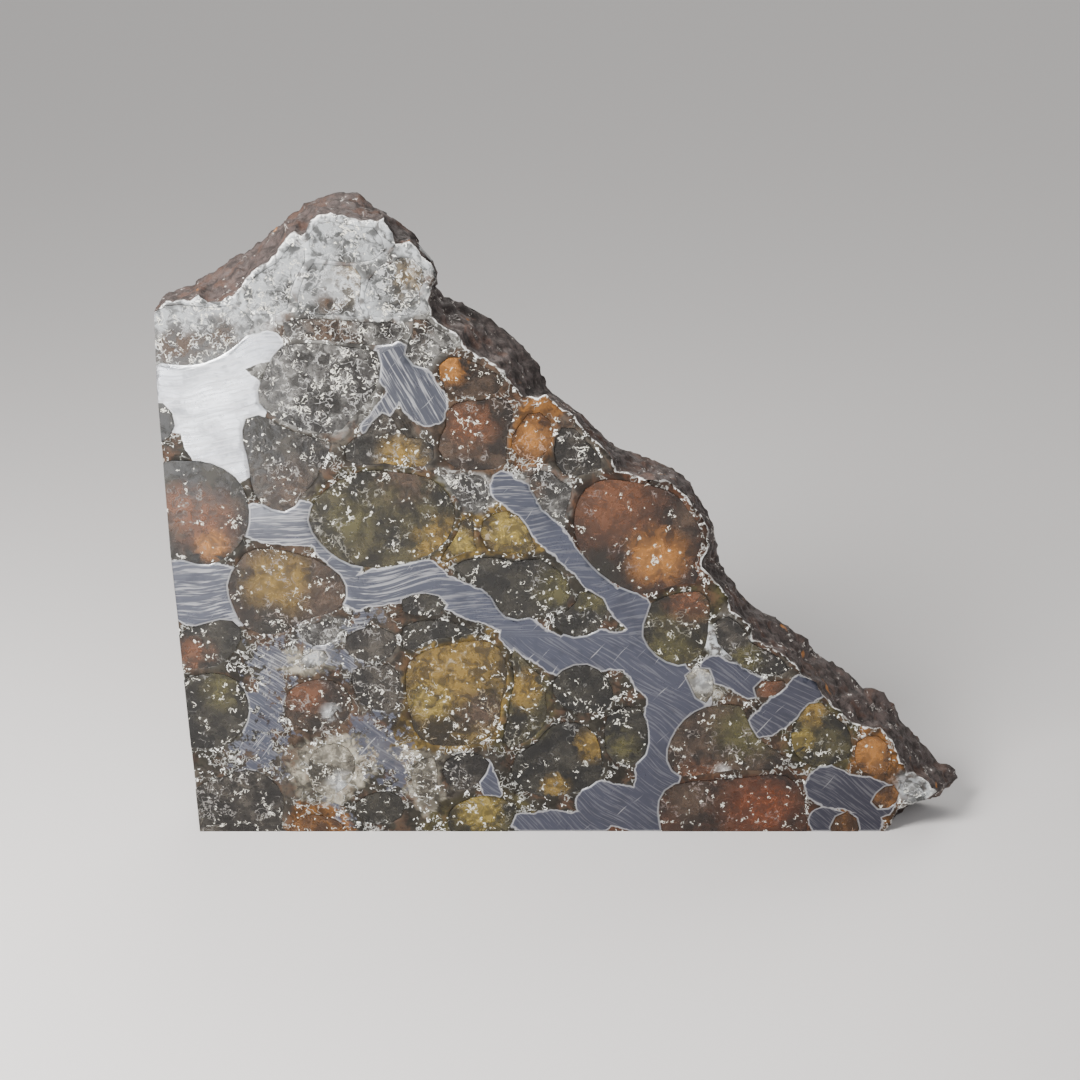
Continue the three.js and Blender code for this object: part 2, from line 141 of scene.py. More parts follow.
# %% [markdown]
# ## Floor and light
# The slice stands on a plain pale floor. A soft lamp close by at the upper left makes that corner
# glare and lets the light fall off towards the lower right, as in the photograph. Polished metal
# mirrors what lies low in front of it, so a small lamp there gives the left its bright sheen. A
# broad weak lamp fills the front. A wide, soft sun behind the slice sends light through the
# crystals, and lights the floor evenly, however far it reaches.

# %% Floor
FLOOR_SIZE = 6.0
FLOOR_COLOUR = (0.60, 0.58, 0.57, 1)
FLOOR_ROUGHNESS = 0.8

bpy.ops.mesh.primitive_plane_add(size=FLOOR_SIZE)
floor = bpy.context.object
floor.name = "floor"

floor_finish = bpy.data.materials.new("pale_floor")
floor_finish.use_nodes = True
floor_shader = floor_finish.node_tree.nodes["Principled BSDF"]
floor_shader.inputs["Base Color"].default_value = FLOOR_COLOUR
floor_shader.inputs["Roughness"].default_value = FLOOR_ROUGHNESS
floor.data.materials.append(floor_finish)
print("floor in metres:", FLOOR_SIZE)

# %% Lamps and sky
# Place and size in millimetres, power in watts, and tint
LAMPS = {
    "key_upper_left": ((-72, -64, 92), 44, 0.4, (1, 0.98, 0.96)),
    "fill_front": ((70, -260, 170), 180, 0.3, (0.95, 0.97, 1)),
    "glare_low_left": ((-40, -68, 6), 26, 0.01, (0.97, 0.98, 1)),
}
AIM = Vector((-4, 0, 17))
SUN_PLACE = Vector((30, 150, 170))
SUN_STRENGTH = 1.3
SUN_TINT = (1, 0.97, 0.92)
SUN_WIDTH = math.radians(40)
SKY = (0.84, 0.85, 0.87, 1)
SKY_STRENGTH = 0.5


def add_lamp(name, kind, place, tint):
    """A lamp that looks at the slice."""
    turn = (place - AIM).to_track_quat("Z", "Y").to_euler()
    bpy.ops.object.light_add(type=kind, location=place * MM, rotation=turn)
    lamp = bpy.context.object
    lamp.name = name
    lamp.data.color = tint
    return lamp.data


for lamp_name, (spot, size, watts, tint) in LAMPS.items():
    lamp = add_lamp(lamp_name, "AREA", Vector(spot), tint)
    lamp.size = size * MM
    lamp.energy = watts
    bpy.context.object.visible_camera = False
sun = add_lamp("back_sun", "SUN", SUN_PLACE, SUN_TINT)
sun.energy = SUN_STRENGTH
sun.angle = SUN_WIDTH

world = bpy.data.worlds.new("studio")
world.use_nodes = True
world.node_tree.nodes["Background"].inputs["Color"].default_value = SKY
world.node_tree.nodes["Background"].inputs["Strength"].default_value = SKY_STRENGTH
bpy.context.scene.world = world
print("lamps:", ", ".join(LAMPS), "and a sun")

# %% [markdown]
# ## The metal net, made finer
# The CAD solid has the right outline and pockets, but its broken skin is made of large facets and its
# pocket edges are razor sharp. A copy gets what polishing and breaking leave: narrow worn edges round
# each pocket, which catch the light, and a crumbly skin. The copy takes the place of the CAD node.

# %% A copy of the metal to work on
SAME_CORNER = 0.0005

metal_cad = NODES[METAL_NODE]
select_only(metal_cad)
bpy.ops.object.duplicate()
metal = bpy.context.object
metal.name = "meteorite_metal"
del metal["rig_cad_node"]
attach(metal, "root")
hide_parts(METAL_NODE)

select_only(metal)
bpy.ops.object.mode_set(mode="EDIT")
bpy.ops.mesh.select_all(action="SELECT")
bpy.ops.mesh.remove_doubles(threshold=SAME_CORNER * MM)
bpy.ops.object.mode_set(mode="OBJECT")
print("metal faces to start with:", len(metal.data.polygons))

# %% [markdown]
# The surfaces of the slice are told apart by place and direction. The two polished faces look
# straight forwards and back, the cuts look down and left, a pocket's wall has a crystal right in
# front of it, and what is left over is broken skin.

# %% Tell the surfaces apart
WALL_REACH = 0.2
NEARLY_FLAT = 0.996
CUT_FLATNESS = 0.98
ON_THE_CUT = 0.05
# Each straight stretch of the left cut is taken this much too long, as a share of its height
OVERLAP = 0.1
KIND_NUMBERS = {"polished": 0, "cut": 1, "wall": 2, "skin": 3}
# The left side was sawn along these spots of the photograph, from the base up
LEFT_CUT = [on_face(*spot) for spot in [(200, 831.5), (171, 560), (156.5, 384), (154, 312)]]


def tree_of_crystals():
    """One search tree over all crystals, and the crystal that each of its faces belongs to."""
    corners, faces, owners = [], [], []
    for name, node in NODES.items():
        if name == METAL_NODE:
            continue
        first = len(corners)
        corners += [vertex.co.copy() for vertex in node.data.vertices]
        faces += [[first + corner for corner in p.vertices] for p in node.data.polygons]
        owners += [name] * len(node.data.polygons)
    return BVHTree.FromPolygons(corners, faces), owners


CRYSTAL_TREE, CRYSTAL_OWNERS = tree_of_crystals()


def on_left_cut(centre):
    """True where the place lies on the sawn left side."""
    height = centre.z / MM
    for low, high in zip(LEFT_CUT, LEFT_CUT[1:]):
        share = (height - low.z) / (high.z - low.z)
        edge = low.x + share * (high.x - low.x)
        if -OVERLAP <= share <= 1 + OVERLAP and abs(centre.x / MM - edge) < ON_THE_CUT:
            return True
    return False


def kind_of(centre, normal):
    """polished, cut, wall or skin."""
    if abs(normal.y) > NEARLY_FLAT:
        return "polished"
    if on_left_cut(centre) or (normal.z < -CUT_FLATNESS and centre.z < ON_THE_CUT * MM):
        return "cut"
    touches = CRYSTAL_TREE.find_nearest(centre, WALL_REACH * MM)[0] is not None
    return "wall" if touches else "skin"


kinds = [kind_of(p.center.copy(), p.normal.copy()) for p in metal.data.polygons]
marks = metal.data.attributes.new("kind", "INT", "FACE")
marks.data.foreach_set("value", [KIND_NUMBERS[kind] for kind in kinds])
print({kind: kinds.count(kind) for kind in KIND_NUMBERS})

# %% [markdown]
# In the real stone the metal has no gap round a crystal. The CAD keeps a hairline there so that the
# solids stay apart. Here the pockets are drawn in until almost nothing of that hairline is left.

# %% Draw the pockets in
HAIRLINE = 0.015


def draw_in(piece):
    """Moves the points of the pockets' walls, across the face only, up to the crystals."""
    walls = {i for p, kind in zip(piece.data.polygons, kinds) if kind == "wall" for i in p.vertices}
    skins = {i for p, kind in zip(piece.data.polygons, kinds) if kind == "skin" for i in p.vertices}
    moved = 0
    for index in walls - skins:
        point = piece.data.vertices[index]
        found, _, _, gap = CRYSTAL_TREE.find_nearest(point.co, WALL_REACH * MM)
        if found is not None and gap > HAIRLINE * MM:
            step = (found - point.co) * (1 - HAIRLINE * MM / gap)
            point.co += Vector((step.x, 0, step.z))
            moved += 1
    return moved


print("points drawn in:", draw_in(metal))

# %% [markdown]
# Long thin triangles bend badly, so the flat faces and the skin are divided until no edge is long.
# After each division the triangles of a flat face are turned to be as plump as they can be.

# %% Divide the flat faces and the skin
FACE_EDGE = 0.5
SKIN_EDGE = 0.34
ROUNDS = 7
FLAT_ENOUGH = math.radians(12)


def pick_long_edges(piece, kind, longest):
    """Selects, in edit mode, the long edges of the faces of one kind."""
    shape = bmesh.from_edit_mesh(piece.data)
    layer = shape.faces.layers.int["kind"]
    count = 0
    for edge in shape.edges:
        fits = any(face[layer] == KIND_NUMBERS[kind] for face in edge.link_faces)
        chosen = fits and edge.calc_length() > longest * MM
        edge.select_set(chosen)
        count += chosen
    bmesh.update_edit_mesh(piece.data)
    return count


def pick_faces(piece, kind):
    """Selects, in edit mode, the faces of one kind."""
    shape = bmesh.from_edit_mesh(piece.data)
    layer = shape.faces.layers.int["kind"]
    for face in shape.faces:
        face.select_set(face[layer] == KIND_NUMBERS[kind])
    shape.select_flush_mode()
    bmesh.update_edit_mesh(piece.data)


select_only(metal)
bpy.ops.object.mode_set(mode="EDIT")
bpy.ops.mesh.select_mode(type="EDGE")
for longest, wanted in ((FACE_EDGE, "polished"), (SKIN_EDGE, "skin")):
    for _ in range(ROUNDS):
        if not pick_long_edges(metal, wanted, longest):
            break
        bpy.ops.mesh.subdivide(number_cuts=1)
        bpy.ops.mesh.select_mode(type="FACE")
        pick_faces(metal, wanted)
        bpy.ops.mesh.quads_convert_to_tris()
        pick_faces(metal, wanted)
        bpy.ops.mesh.beautify_fill(angle_limit=FLAT_ENOUGH)
        bpy.ops.mesh.select_mode(type="EDGE")
bpy.ops.object.mode_set(mode="OBJECT")
print("metal faces after dividing:", len(metal.data.polygons))

# %% [markdown]
# Polishing rounds the metal's edge a little where it meets a softer crystal. These narrow slopes shine
# in the photograph as thin bright rims. A bevel makes them, on every edge between a flat face and a
# pocket's wall, and on the long edges of the saw cuts.

# %% Worn edges round the pockets
WORN_EDGE = 0.035

select_only(metal)
bpy.ops.object.mode_set(mode="EDIT")
bpy.ops.mesh.select_mode(type="EDGE")
shape = bmesh.from_edit_mesh(metal.data)
layer = shape.faces.layers.int["kind"]
flat = KIND_NUMBERS["polished"]
steep = {KIND_NUMBERS["wall"], KIND_NUMBERS["cut"]}
worn = 0
for edge in shape.edges:
    touching = {face[layer] for face in edge.link_faces}
    chosen = flat in touching and bool(touching & steep)
    edge.select_set(chosen)
    worn += chosen
bmesh.update_edit_mesh(metal.data)
bpy.ops.mesh.bevel(offset=WORN_EDGE * MM, segments=1, clamp_overlap=False)
bpy.ops.object.mode_set(mode="OBJECT")
print("worn edges:", worn, "faces now:", len(metal.data.polygons))

# %% [markdown]
# The broken skin is crumbly at three sizes. Displace modifiers push its points in and out along their
# normals by cloudy and cellular noise. The rim of the polished face only moves within its own plane,
# so that the face stays flat and its outline looks chipped.

# %% Crumbly skin and chipped rim
# Name, kind of noise, size and height in millimetres, resting level, direction, and points it moves
RELIEFS = [
    ("hollows", "CLOUDS", 1.5, 0.55, 0.62, "NORMAL", "skin_inside"),
    ("crumbs", "VORONOI", 0.55, -0.3, 0.3, "NORMAL", "skin_inside"),
    ("grit", "CLOUDS", 0.3, 0.16, 0.5, "NORMAL", "skin_inside"),
    ("chips_across", "CLOUDS", 0.6, 0.5, 0.5, "X", "rim"),
    ("chips_up", "CLOUDS", 0.5, 0.5, 0.5, "Z", "rim"),
]
# Next to the flat faces the skin moves little, so that it can't pass behind them
FREE_DEPTH = 0.7
LEAST_FREE = 0.08
SMOOTH_BELOW = math.radians(38)


def point_groups(piece):
    """Vertex groups: the points inside the skin, and those of the rim where it meets a flat face."""
    mesh = piece.data
    skin = KIND_NUMBERS["skin"]
    kinds_at = [set() for _ in mesh.vertices]
    values = mesh.attributes["kind"].data
    for polygon in mesh.polygons:
        for corner in polygon.vertices:
            kinds_at[corner].add(values[polygon.index].value)
    inside = [i for i, found in enumerate(kinds_at) if found == {skin}]
    rim = [i for i, found in enumerate(kinds_at) if found == {skin, KIND_NUMBERS["polished"]}]
    free = piece.vertex_groups.new(name="skin_inside")
    for index in inside:
        depth = -FACE_DEPTH - abs(mesh.vertices[index].co.y / MM)
        free.add([index], min(1, max(LEAST_FREE, depth / FREE_DEPTH)), "REPLACE")
    piece.vertex_groups.new(name="rim").add(rim, 1.0, "REPLACE")
    return inside, rim


def displace(piece, name, kind, size, height, middle, axis, group):
    """One Displace modifier, applied at once."""
    texture = bpy.data.textures.new(name, kind)
    texture.noise_scale = size * MM
    select_only(piece)
    modifier = piece.modifiers.new(name, "DISPLACE")
    modifier.texture = texture
    modifier.texture_coords = "LOCAL"
    modifier.direction = axis
    modifier.strength = height * MM
    modifier.mid_level = middle
    modifier.vertex_group = group
    bpy.ops.object.modifier_apply(modifier=modifier.name)


def keep_in_box(piece, box):
    """Pulls back what stands proud of the CAD box."""
    low, high = box
    for vertex in piece.data.vertices:
        vertex.co = [min(max(c, a), b) for c, a, b in zip(vertex.co, low, high)]


SKIN_POINTS, RIM_POINTS = point_groups(metal)
print("points inside the skin:", len(SKIN_POINTS), "on its rim:", len(RIM_POINTS))
for relief in RELIEFS:
    displace(metal, *relief)
keep_in_box(metal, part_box(METAL_NODE))
select_only(metal)
bpy.ops.object.shade_smooth_by_angle(angle=SMOOTH_BELOW)
print("metal faces in the end:", len(metal.data.polygons))

# %% [markdown]
# ## Tools for the materials
# A material is a small network of nodes. These helpers add a node and join it in one line. Every
# pattern reads Object coordinates, turned into millimetres, so it stays on the stone in every view.

# %% Node helpers
PER_METRE = (1 / MM,) * 3
# A Mix node lists the sockets of all its kinds, so the wanted ones are asked for by number
COLOUR_MIX = {"kind": "RGBA", "share": 0, "first": 6, "second": 7, "result": 2}
PLACE_MIX = {"kind": "VECTOR", "share": 0, "first": 4, "second": 5, "result": 1}


def put(tree, kind, inputs=None, **settings):
    """Adds a node. `inputs` gives plain values, or the sockets that they come from."""
    node = tree.nodes.new(kind)
    for key, value in settings.items():
        setattr(node, key, value)
    for key, value in (inputs or {}).items():
        if isinstance(value, bpy.types.NodeSocket):
            tree.links.new(value, node.inputs[key])
        else:
            node.inputs[key].default_value = value
    return node


def sums(tree, operation, first, second=0.0, clamp=False):
    """The output of a Math node."""
    inputs = {0: first, 1: second}
    return put(tree, "ShaderNodeMath", inputs, operation=operation, use_clamp=clamp).outputs[0]


def vectors(tree, operation, inputs, output="Vector"):
    """The output of a Vector Math node, which is a vector or a value."""
    return put(tree, "ShaderNodeVectorMath", inputs, operation=operation).outputs[output]


def ramped(tree, value, low, high, at_low=0.0, at_high=1.0):
    """The value's range low to high, stretched smoothly to at_low to at_high."""
    inputs = {"Value": value, "From Min": low, "From Max": high, "To Min": at_low, "To Max": at_high}
    return put(tree, "ShaderNodeMapRange", inputs, interpolation_type="SMOOTHSTEP").outputs["Result"]


def straight(tree, value, low, high):
    """The value's range low to high, as 0 to 1."""
    inputs = {"Value": value, "From Min": low, "From Max": high}
    return put(tree, "ShaderNodeMapRange", inputs).outputs["Result"]


def blended(tree, share, first, second, sockets=COLOUR_MIX):
    """The output of a Mix node: the first at a share of 0, the second at 1."""
    inputs = {sockets["share"]: share, sockets["first"]: first, sockets["second"]: second}
    node = put(tree, "ShaderNodeMix", inputs, data_type=sockets["kind"])
    return node.outputs[sockets["result"]]


def laid_over(tree, body, mask, top, most=None):
    """The body colour with a top colour where the mask is, by no more than a share of it."""
    if most is not None:
        mask = sums(tree, "MULTIPLY", mask, most)
    return blended(tree, mask, body, top)


def stored(tree, attribute, output="Fac"):
    """What an attribute of the piece's points says."""
    return put(tree, "ShaderNodeAttribute", attribute_name=attribute).outputs[output]


def bump(tree, shader, height, strength, rise):
    """Gives the shader a small relief, whose rise is in millimetres."""
    inputs = {"Height": height, "Strength": strength, "Distance": rise * MM}
    normal = put(tree, "ShaderNodeBump", inputs).outputs["Normal"]
    tree.links.new(normal, shader.inputs["Normal"])


def colour(red, green, blue):
    """A colour that covers fully."""
    return (red, green, blue, 1.0)


def new_group(name, inputs, outputs):
    """An empty node group: its inputs with their usual values, and its outputs, which are values."""
    tree = bpy.data.node_groups.new(name, "ShaderNodeTree")
    for key, usual in inputs.items():
        kind = "NodeSocketVector" if isinstance(usual, tuple) else "NodeSocketFloat"
        socket = tree.interface.new_socket(name=key, in_out="INPUT", socket_type=kind)
        socket.default_value = usual
    for key in outputs:
        tree.interface.new_socket(name=key, in_out="OUTPUT", socket_type="NodeSocketFloat")
    return tree, tree.nodes.new("NodeGroupInput").outputs, tree.nodes.new("NodeGroupOutput").inputs


def group_node(tree, group, inputs):
    """Places a node group, joins its sockets, and returns its outputs."""
    return put(tree, "ShaderNodeGroup", inputs, node_tree=group).outputs


def new_material(name):
    """A material with its Principled shader, and the place on the stone in millimetres."""
    material = bpy.data.materials.new(name)
    material.use_nodes = True
    tree = material.node_tree
    shader = tree.nodes["Principled BSDF"]
    coordinates = tree.nodes.new("ShaderNodeTexCoord").outputs["Object"]
    place = put(tree, "ShaderNodeMapping", {"Vector": coordinates, "Scale": PER_METRE}).outputs[0]
    return material, tree, shader, place


print("node helpers ready")

# %% [markdown]
# ## What shows inside the olivine
# Old olivine is full of cracks and tiny flakes. Seen through the polish they make blotches of light and
# dark, curly bright lines, and many pinpoint glints that lie in clusters. The glints are painted
# highlights of the flakes, laid into the colour. They could be painted on a picture, but noise keeps them
# sharp at any size. One node group draws them all, and each crystal gives it its own shift, so no two look
# alike.

# %% Grains, and how they are drawn
# A grain is a noise: its bumps to the millimetre, its detail, and where given its roughness
GRAINS = {
    "blotch": (0.55, 4.0, 0.62), "stain": (0.75, 3.0, 0.6), "fleck": (1.7, 4.0, 0.62),
    "crowd": (0.62, 2.0), "stroke": (2.6, 1.0), "break": (2.1, 1.0),
    "curl": (1.7, 1.5), "patch": (0.8, 2.0),
}
# The range over which a grain goes from nothing to full
EDGES = {
    "blotch": (0.4, 0.62), "stain": (0.5, 0.66), "fleck": (0.34, 0.66),
    "stroke": (0.045, 0.02), "break": (0.7, 0.73),
    "curl": (0.032, 0.01), "patch": (0.3, 0.7),
}
MIDDLE_GREY = 0.5


def noise(tree, place, scale, detail=2.0, roughness=0.55):
    """The grey value of a Noise Texture, whose scale is in bumps to the millimetre."""
    inputs = {"Vector": place, "Scale": scale, "Detail": detail, "Roughness": roughness}
    return put(tree, "ShaderNodeTexNoise", inputs).outputs["Fac"]


def off_middle(tree, value):
    """How far a grey value lies from the middle, above or below it."""
    return sums(tree, "SUBTRACT", value, MIDDLE_GREY)


def grained(tree, place, name):
    """A grain of the table, from nothing to full."""
    return ramped(tree, noise(tree, place, *GRAINS[name]), *EDGES[name])


def curly_line(tree, place, name):
    """A thin line that curls along where a grain passes the middle grey."""
    off = sums(tree, "ABSOLUTE", off_middle(tree, noise(tree, place, *GRAINS[name])))
    return ramped(tree, off, *EDGES[name])


def stirred_by(tree, place, scale, amount):
    """The place, pushed about by coloured noise."""
    inputs = {"Vector": place, "Scale": scale, "Detail": 1.0}
    push = put(tree, "ShaderNodeTexNoise", inputs).outputs["Color"]
    push = vectors(tree, "SCALE", {0: push, "Scale": amount})
    return vectors(tree, "ADD", {0: place, 1: push})


print("grains:", ", ".join(GRAINS))

# %% Node group: blotches, stains and flecks
STIR = {"scale": 1.1, "amount": 1.0}
CURL_STIR = {"scale": 2.2, "amount": 0.9}

tree, given, result = new_group(
    "inside_olivine",
    {"Place": (0, 0, 0), "Shift": (0, 0, 0), "Glint Share": 0.3, "Curl Share": 0.3},
    ("Blotch", "Stain", "Fleck", "Glint", "Curl", "Height"),
)
place = vectors(tree, "ADD", {0: given["Place"], 1: given["Shift"]})
stirred = stirred_by(tree, place, **STIR)
curled = stirred_by(tree, place, **CURL_STIR)
blotch = grained(tree, place, "blotch")
stain = grained(tree, stirred, "stain")
fleck = grained(tree, stirred, "fleck")
inside_olivine = tree
print("group:", inside_olivine.name)

# %% [markdown]
# Glints are painted highlights: short strokes and round dots of pale colour. A slow noise says where they
# crowd together, and the share that a crystal asks for lifts it everywhere.

# %% Node group: painted glints
CROWD_SWAY = 0.6
GLINT_GAIN = 0.3
DOT_CELLS = 2.4
DOT_ODDS = 3.0
DOT_ODDS_START = -0.09
DOT_RADII = (0.07, 0.2)

crowd = off_middle(tree, noise(tree, place, *GRAINS["crowd"]))
crowd = sums(tree, "MULTIPLY", crowd, CROWD_SWAY)
crowd = sums(tree, "ADD", crowd, sums(tree, "MULTIPLY", given["Glint Share"], GLINT_GAIN))
broken = sums(tree, "ADD", noise(tree, place, *GRAINS["break"]), crowd)
stroke = curly_line(tree, curled, "stroke")
stroke = sums(tree, "MULTIPLY", stroke, ramped(tree, broken, *EDGES["break"]))
inputs = {"Vector": stirred, "Scale": DOT_CELLS, "Randomness": 1.0}
cells = put(tree, "ShaderNodeTexVoronoi", inputs).outputs
chances = put(tree, "ShaderNodeSeparateColor", {"Color": cells["Color"]}).outputs
odds = sums(tree, "ADD", sums(tree, "MULTIPLY", crowd, DOT_ODDS), DOT_ODDS_START)
chosen = sums(tree, "LESS_THAN", chances["Red"], odds)
radius = ramped(tree, chances["Green"], 0.0, 1.0, *DOT_RADII)
dot = sums(tree, "MULTIPLY", chosen, sums(tree, "LESS_THAN", cells["Distance"], radius))
# Painted glints: highlights of the flakes, as strokes and dots
glint = sums(tree, "MAXIMUM", stroke, dot)
print("glints: strokes and dots")

# %% Node group: curls, relief and the way out
CURL_EDGE = (-0.05, 0.15)
FLECK_HEIGHT = 0.4
CURL_HEIGHT = 0.6

line = curly_line(tree, curled, "curl")
patch = grained(tree, place, "patch")
allowed = ramped(tree, sums(tree, "SUBTRACT", given["Curl Share"], patch), *CURL_EDGE)
curl = sums(tree, "MULTIPLY", line, allowed)
fleck_height = sums(tree, "MULTIPLY", fleck, FLECK_HEIGHT)
height = sums(tree, "ADD", fleck_height, sums(tree, "MULTIPLY", curl, CURL_HEIGHT))
drawn = {"Blotch": blotch, "Stain": stain, "Fleck": fleck}
drawn.update({"Glint": glint, "Curl": curl, "Height": height})
for key, socket in drawn.items():
    tree.links.new(socket, result[key])
print("nodes in the group:", len(inside_olivine.nodes))

# %% [markdown]
# ## How each crystal looks
# The table gives each crystal its family, which sets its two body colours and how full it is of
# glints and curls. It also gives soft spots of colour, where light comes through: the column, row and
# reach of each spot in the photograph, and its colour.

# %% Families of crystal, and colours of light
FAMILY_COLUMNS = ("dark", "light", "grain", "glints", "curls")
FAMILY_ROWS = {
    # silver is pale partly from the frost of the summit, partly from painted glare
    "silver": ((0.072, 0.072, 0.068), (0.264, 0.272, 0.272), 0.75, 0.4, 0.85),
    "grey": ((0.0285, 0.0266, 0.0247), (0.142, 0.138, 0.128), 0.8, 0.36, 0.8),
    "smoky": ((0.0098, 0.0082, 0.0066), (0.056, 0.048, 0.038), 0.7, 0.27, 0.4),
    "brown": ((0.0132, 0.0081, 0.0052), (0.059, 0.037, 0.023), 0.5, 0.2, 0.25),
    "dark": ((0.0046, 0.0043, 0.0031), (0.028, 0.025, 0.018), 0.6, 0.22, 0.2),
    "olive": ((0.0077, 0.0066, 0.003), (0.052, 0.044, 0.017), 0.65, 0.25, 0.3),
    "gold": ((0.0204, 0.0134, 0.0034), (0.122, 0.08, 0.018), 0.7, 0.2, 0.3),
    "rust": ((0.0132, 0.0058, 0.003), (0.056, 0.022, 0.01), 0.45, 0.1, 0.12),
    "orange": ((0.0408, 0.0161, 0.004), (0.177, 0.074, 0.016), 0.45, 0.14, 0.15),
    "pale": ((0.051, 0.0448, 0.0336), (0.281, 0.257, 0.2), 0.6, 0.3, 0.4),
}
FAMILIES = {name: dict(zip(FAMILY_COLUMNS, row)) for name, row in FAMILY_ROWS.items()}
GLOWS = {
    "amber": (0.33, 0.135, 0.025), "golden": (0.21, 0.13, 0.022), "yellow": (0.29, 0.21, 0.04),
    "rusty": (0.125, 0.048, 0.02), "red": (0.15, 0.04, 0.012), "brown": (0.065, 0.04, 0.025),
    # white marks painted glints and glare
    "dark": (0.01, 0.009, 0.006), "silver": (0.42, 0.43, 0.43), "white": (0.62, 0.62, 0.6),
    "olive": (0.07, 0.062, 0.02), "tan": (0.22, 0.16, 0.085),
}
print("families of crystal:", len(FAMILIES), "colours of light:", len(GLOWS))

# %% The family and the soft spots of each crystal
LOOKS = {
    "shoulder": ("silver", [(178, 345, 26, "brown"), (225, 335, 20, "brown")]),
    "cream": ("silver", []),
    "summit": ("silver", []),
    "notch": ("silver", [(412, 280, 20, "tan")]),
    "granular": ("silver", [(356, 278, 26, "tan"), (330, 300, 14, "brown")]),
    "band": ("grey", [(330, 335, 30, "brown")]),
    "grey": ("grey", [(410, 322, 22, "brown")]),
    "amber_spot": ("brown", [(450, 367, 17, "amber")]),
    "glitter": ("grey", [(268, 430, 26, "dark"), (330, 400, 18, "dark")]),
    "smoke": ("smoky", [(285, 488, 30, "brown"), (262, 430, 30, "dark")]),
    "tawny": ("smoky", [(400, 460, 24, "golden"), (360, 450, 20, "dark")]),
    "brown": ("brown", [(470, 425, 26, "rusty"), (440, 450, 20, "brown")]),
    "orange": ("orange", [(532, 436, 17, "amber")]),
    "bottle": ("smoky", []),
    "speckled": ("grey", [(530, 485, 18, "brown")]),
    "red": ("rust", [
        (656, 556, 30, "amber"), (610, 500, 42, "rusty"), (595, 575, 30, "dark"), (690, 520, 18, "brown"),
    ]),
    "edge_chip": ("dark", []),
    "rust": ("dark", [(205, 522, 34, "rusty"), (212, 545, 16, "amber"), (180, 505, 22, "rusty")]),
    "amber": ("brown", [(280, 582, 34, "golden"), (268, 620, 20, "dark"), (325, 600, 26, "brown")]),
    "fawn": ("grey", []),
    "left_russet": ("dark", [(196, 655, 20, "rusty")]),
    "left_shaded": ("dark", [(222, 690, 22, "olive")]),
    "chestnut": ("brown", [(330, 712, 10, "silver"), (305, 695, 22, "rusty")]),
    "bead": ("pale", [(314, 658, 14, "silver")]),
    "umber": ("smoky", []),
    "ash": ("smoky", []),
    "pale": ("pale", [(342, 784, 14, "silver")]),
    "corner": ("smoky", []),
    "base_orange": ("orange", []),
    "base_shaded": ("dark", []),
    "green": ("olive", [(440, 543, 26, "golden"), (350, 520, 22, "olive"), (405, 478, 26, "brown")]),
    "moss": ("grey", []),
    "gold": ("gold", [(508, 532, 24, "yellow")]),
    "sparkle": ("gold", [(460, 545, 16, "yellow")]),
    "dark": ("dark", [(560, 590, 24, "olive")]),
    "islet": ("dark", []),
    "cove": ("dark", [(590, 600, 18, "olive")]),
    "olive": ("dark", []),
    "honey": ("gold", [(450, 668, 42, "golden"), (480, 712, 24, "brown"), (430, 700, 20, "yellow")]),
    "feather": ("olive", [(522, 690, 22, "golden")]),
    "round_dark": ("dark", []),
    "tall_green": ("dark", [(620, 745, 20, "olive")]),
    "dark_hollow": ("dark", [(555, 785, 15, "golden"), (592, 745, 18, "golden"), (530, 722, 20, "olive")]),
    "glinting": ("smoky", []),
    "khaki": ("pale", []),
    "base_yellow": ("olive", [(480, 810, 24, "yellow")]),
    "round_olive": ("olive", [(690, 600, 24, "rusty"), (670, 650, 22, "olive")]),
    "slope": ("smoky", [(745, 658, 18, "olive")]),
    "wedge": ("brown", [(770, 688, 14, "rusty")]),
    "chalk": ("pale", [(703, 680, 14, "silver")]),
    "russet": ("brown", [(722, 772, 9, "white"), (745, 730, 34, "olive"), (700, 785, 30, "rusty")]),
    "base_red": ("rust", [(762, 808, 36, "red"), (690, 800, 24, "brown")]),
    "right_gold": ("olive", [(815, 708, 20, "golden"), (800, 740, 14, "yellow")]),
    "right_orange": ("orange", [(872, 752, 24, "amber")]),
    "tip_orange": ("orange", []),
    "base_bead": ("orange", []),
    "tip": ("silver", [(910, 780, 18, "white")]),
}
missing = sorted(set(NODES) - {METAL_NODE} - {CRYSTAL_PREFIX + key for key in LOOKS})
print("crystals:", len(LOOKS), "without a look:", missing)

# %% [markdown]
# ## What the net knows about its surroundings
# Three facts are stored on the net's points. The first is how far each point is from the nearest crystal,
# which draws the painted highlight line where metal meets olivine. The second is that crystal's colour, so
# the crushed olivine between two crystals takes after both. The third is how far the point is from the
# broken rim of the front face, where small glints are painted as highlights.

# %% Distance to the nearest crystal, and its colour
FARTHEST_ASKED = 6
RIDGE_COLOUR = "near_olivine"
RIDGE_GAP = "to_olivine"


def store_neighbours(piece):
    """Stores two attributes on the points: the distance in millimetres, and the colour."""
    gaps, tints = [], []
    for vertex in piece.data.vertices:
        found, _, index, gap = CRYSTAL_TREE.find_nearest(vertex.co, FARTHEST_ASKED * MM)
        key = CRYSTAL_OWNERS[index].removeprefix(CRYSTAL_PREFIX) if found else "dark"
        gaps.append(gap / MM if found else FARTHEST_ASKED)
        tints += [*FAMILIES[LOOKS[key][0]]["light"], 1.0]
    piece.data.attributes.new(RIDGE_GAP, "FLOAT", "POINT").data.foreach_set("value", gaps)
    piece.data.attributes.new(RIDGE_COLOUR, "FLOAT_COLOR", "POINT").data.foreach_set("color", tints)
    return max(gaps)


print("farthest point from any crystal, mm:", round(store_neighbours(metal), 2))

# %% Distance to the chipped rim of the front face
RIM_GAP = "to_rim"


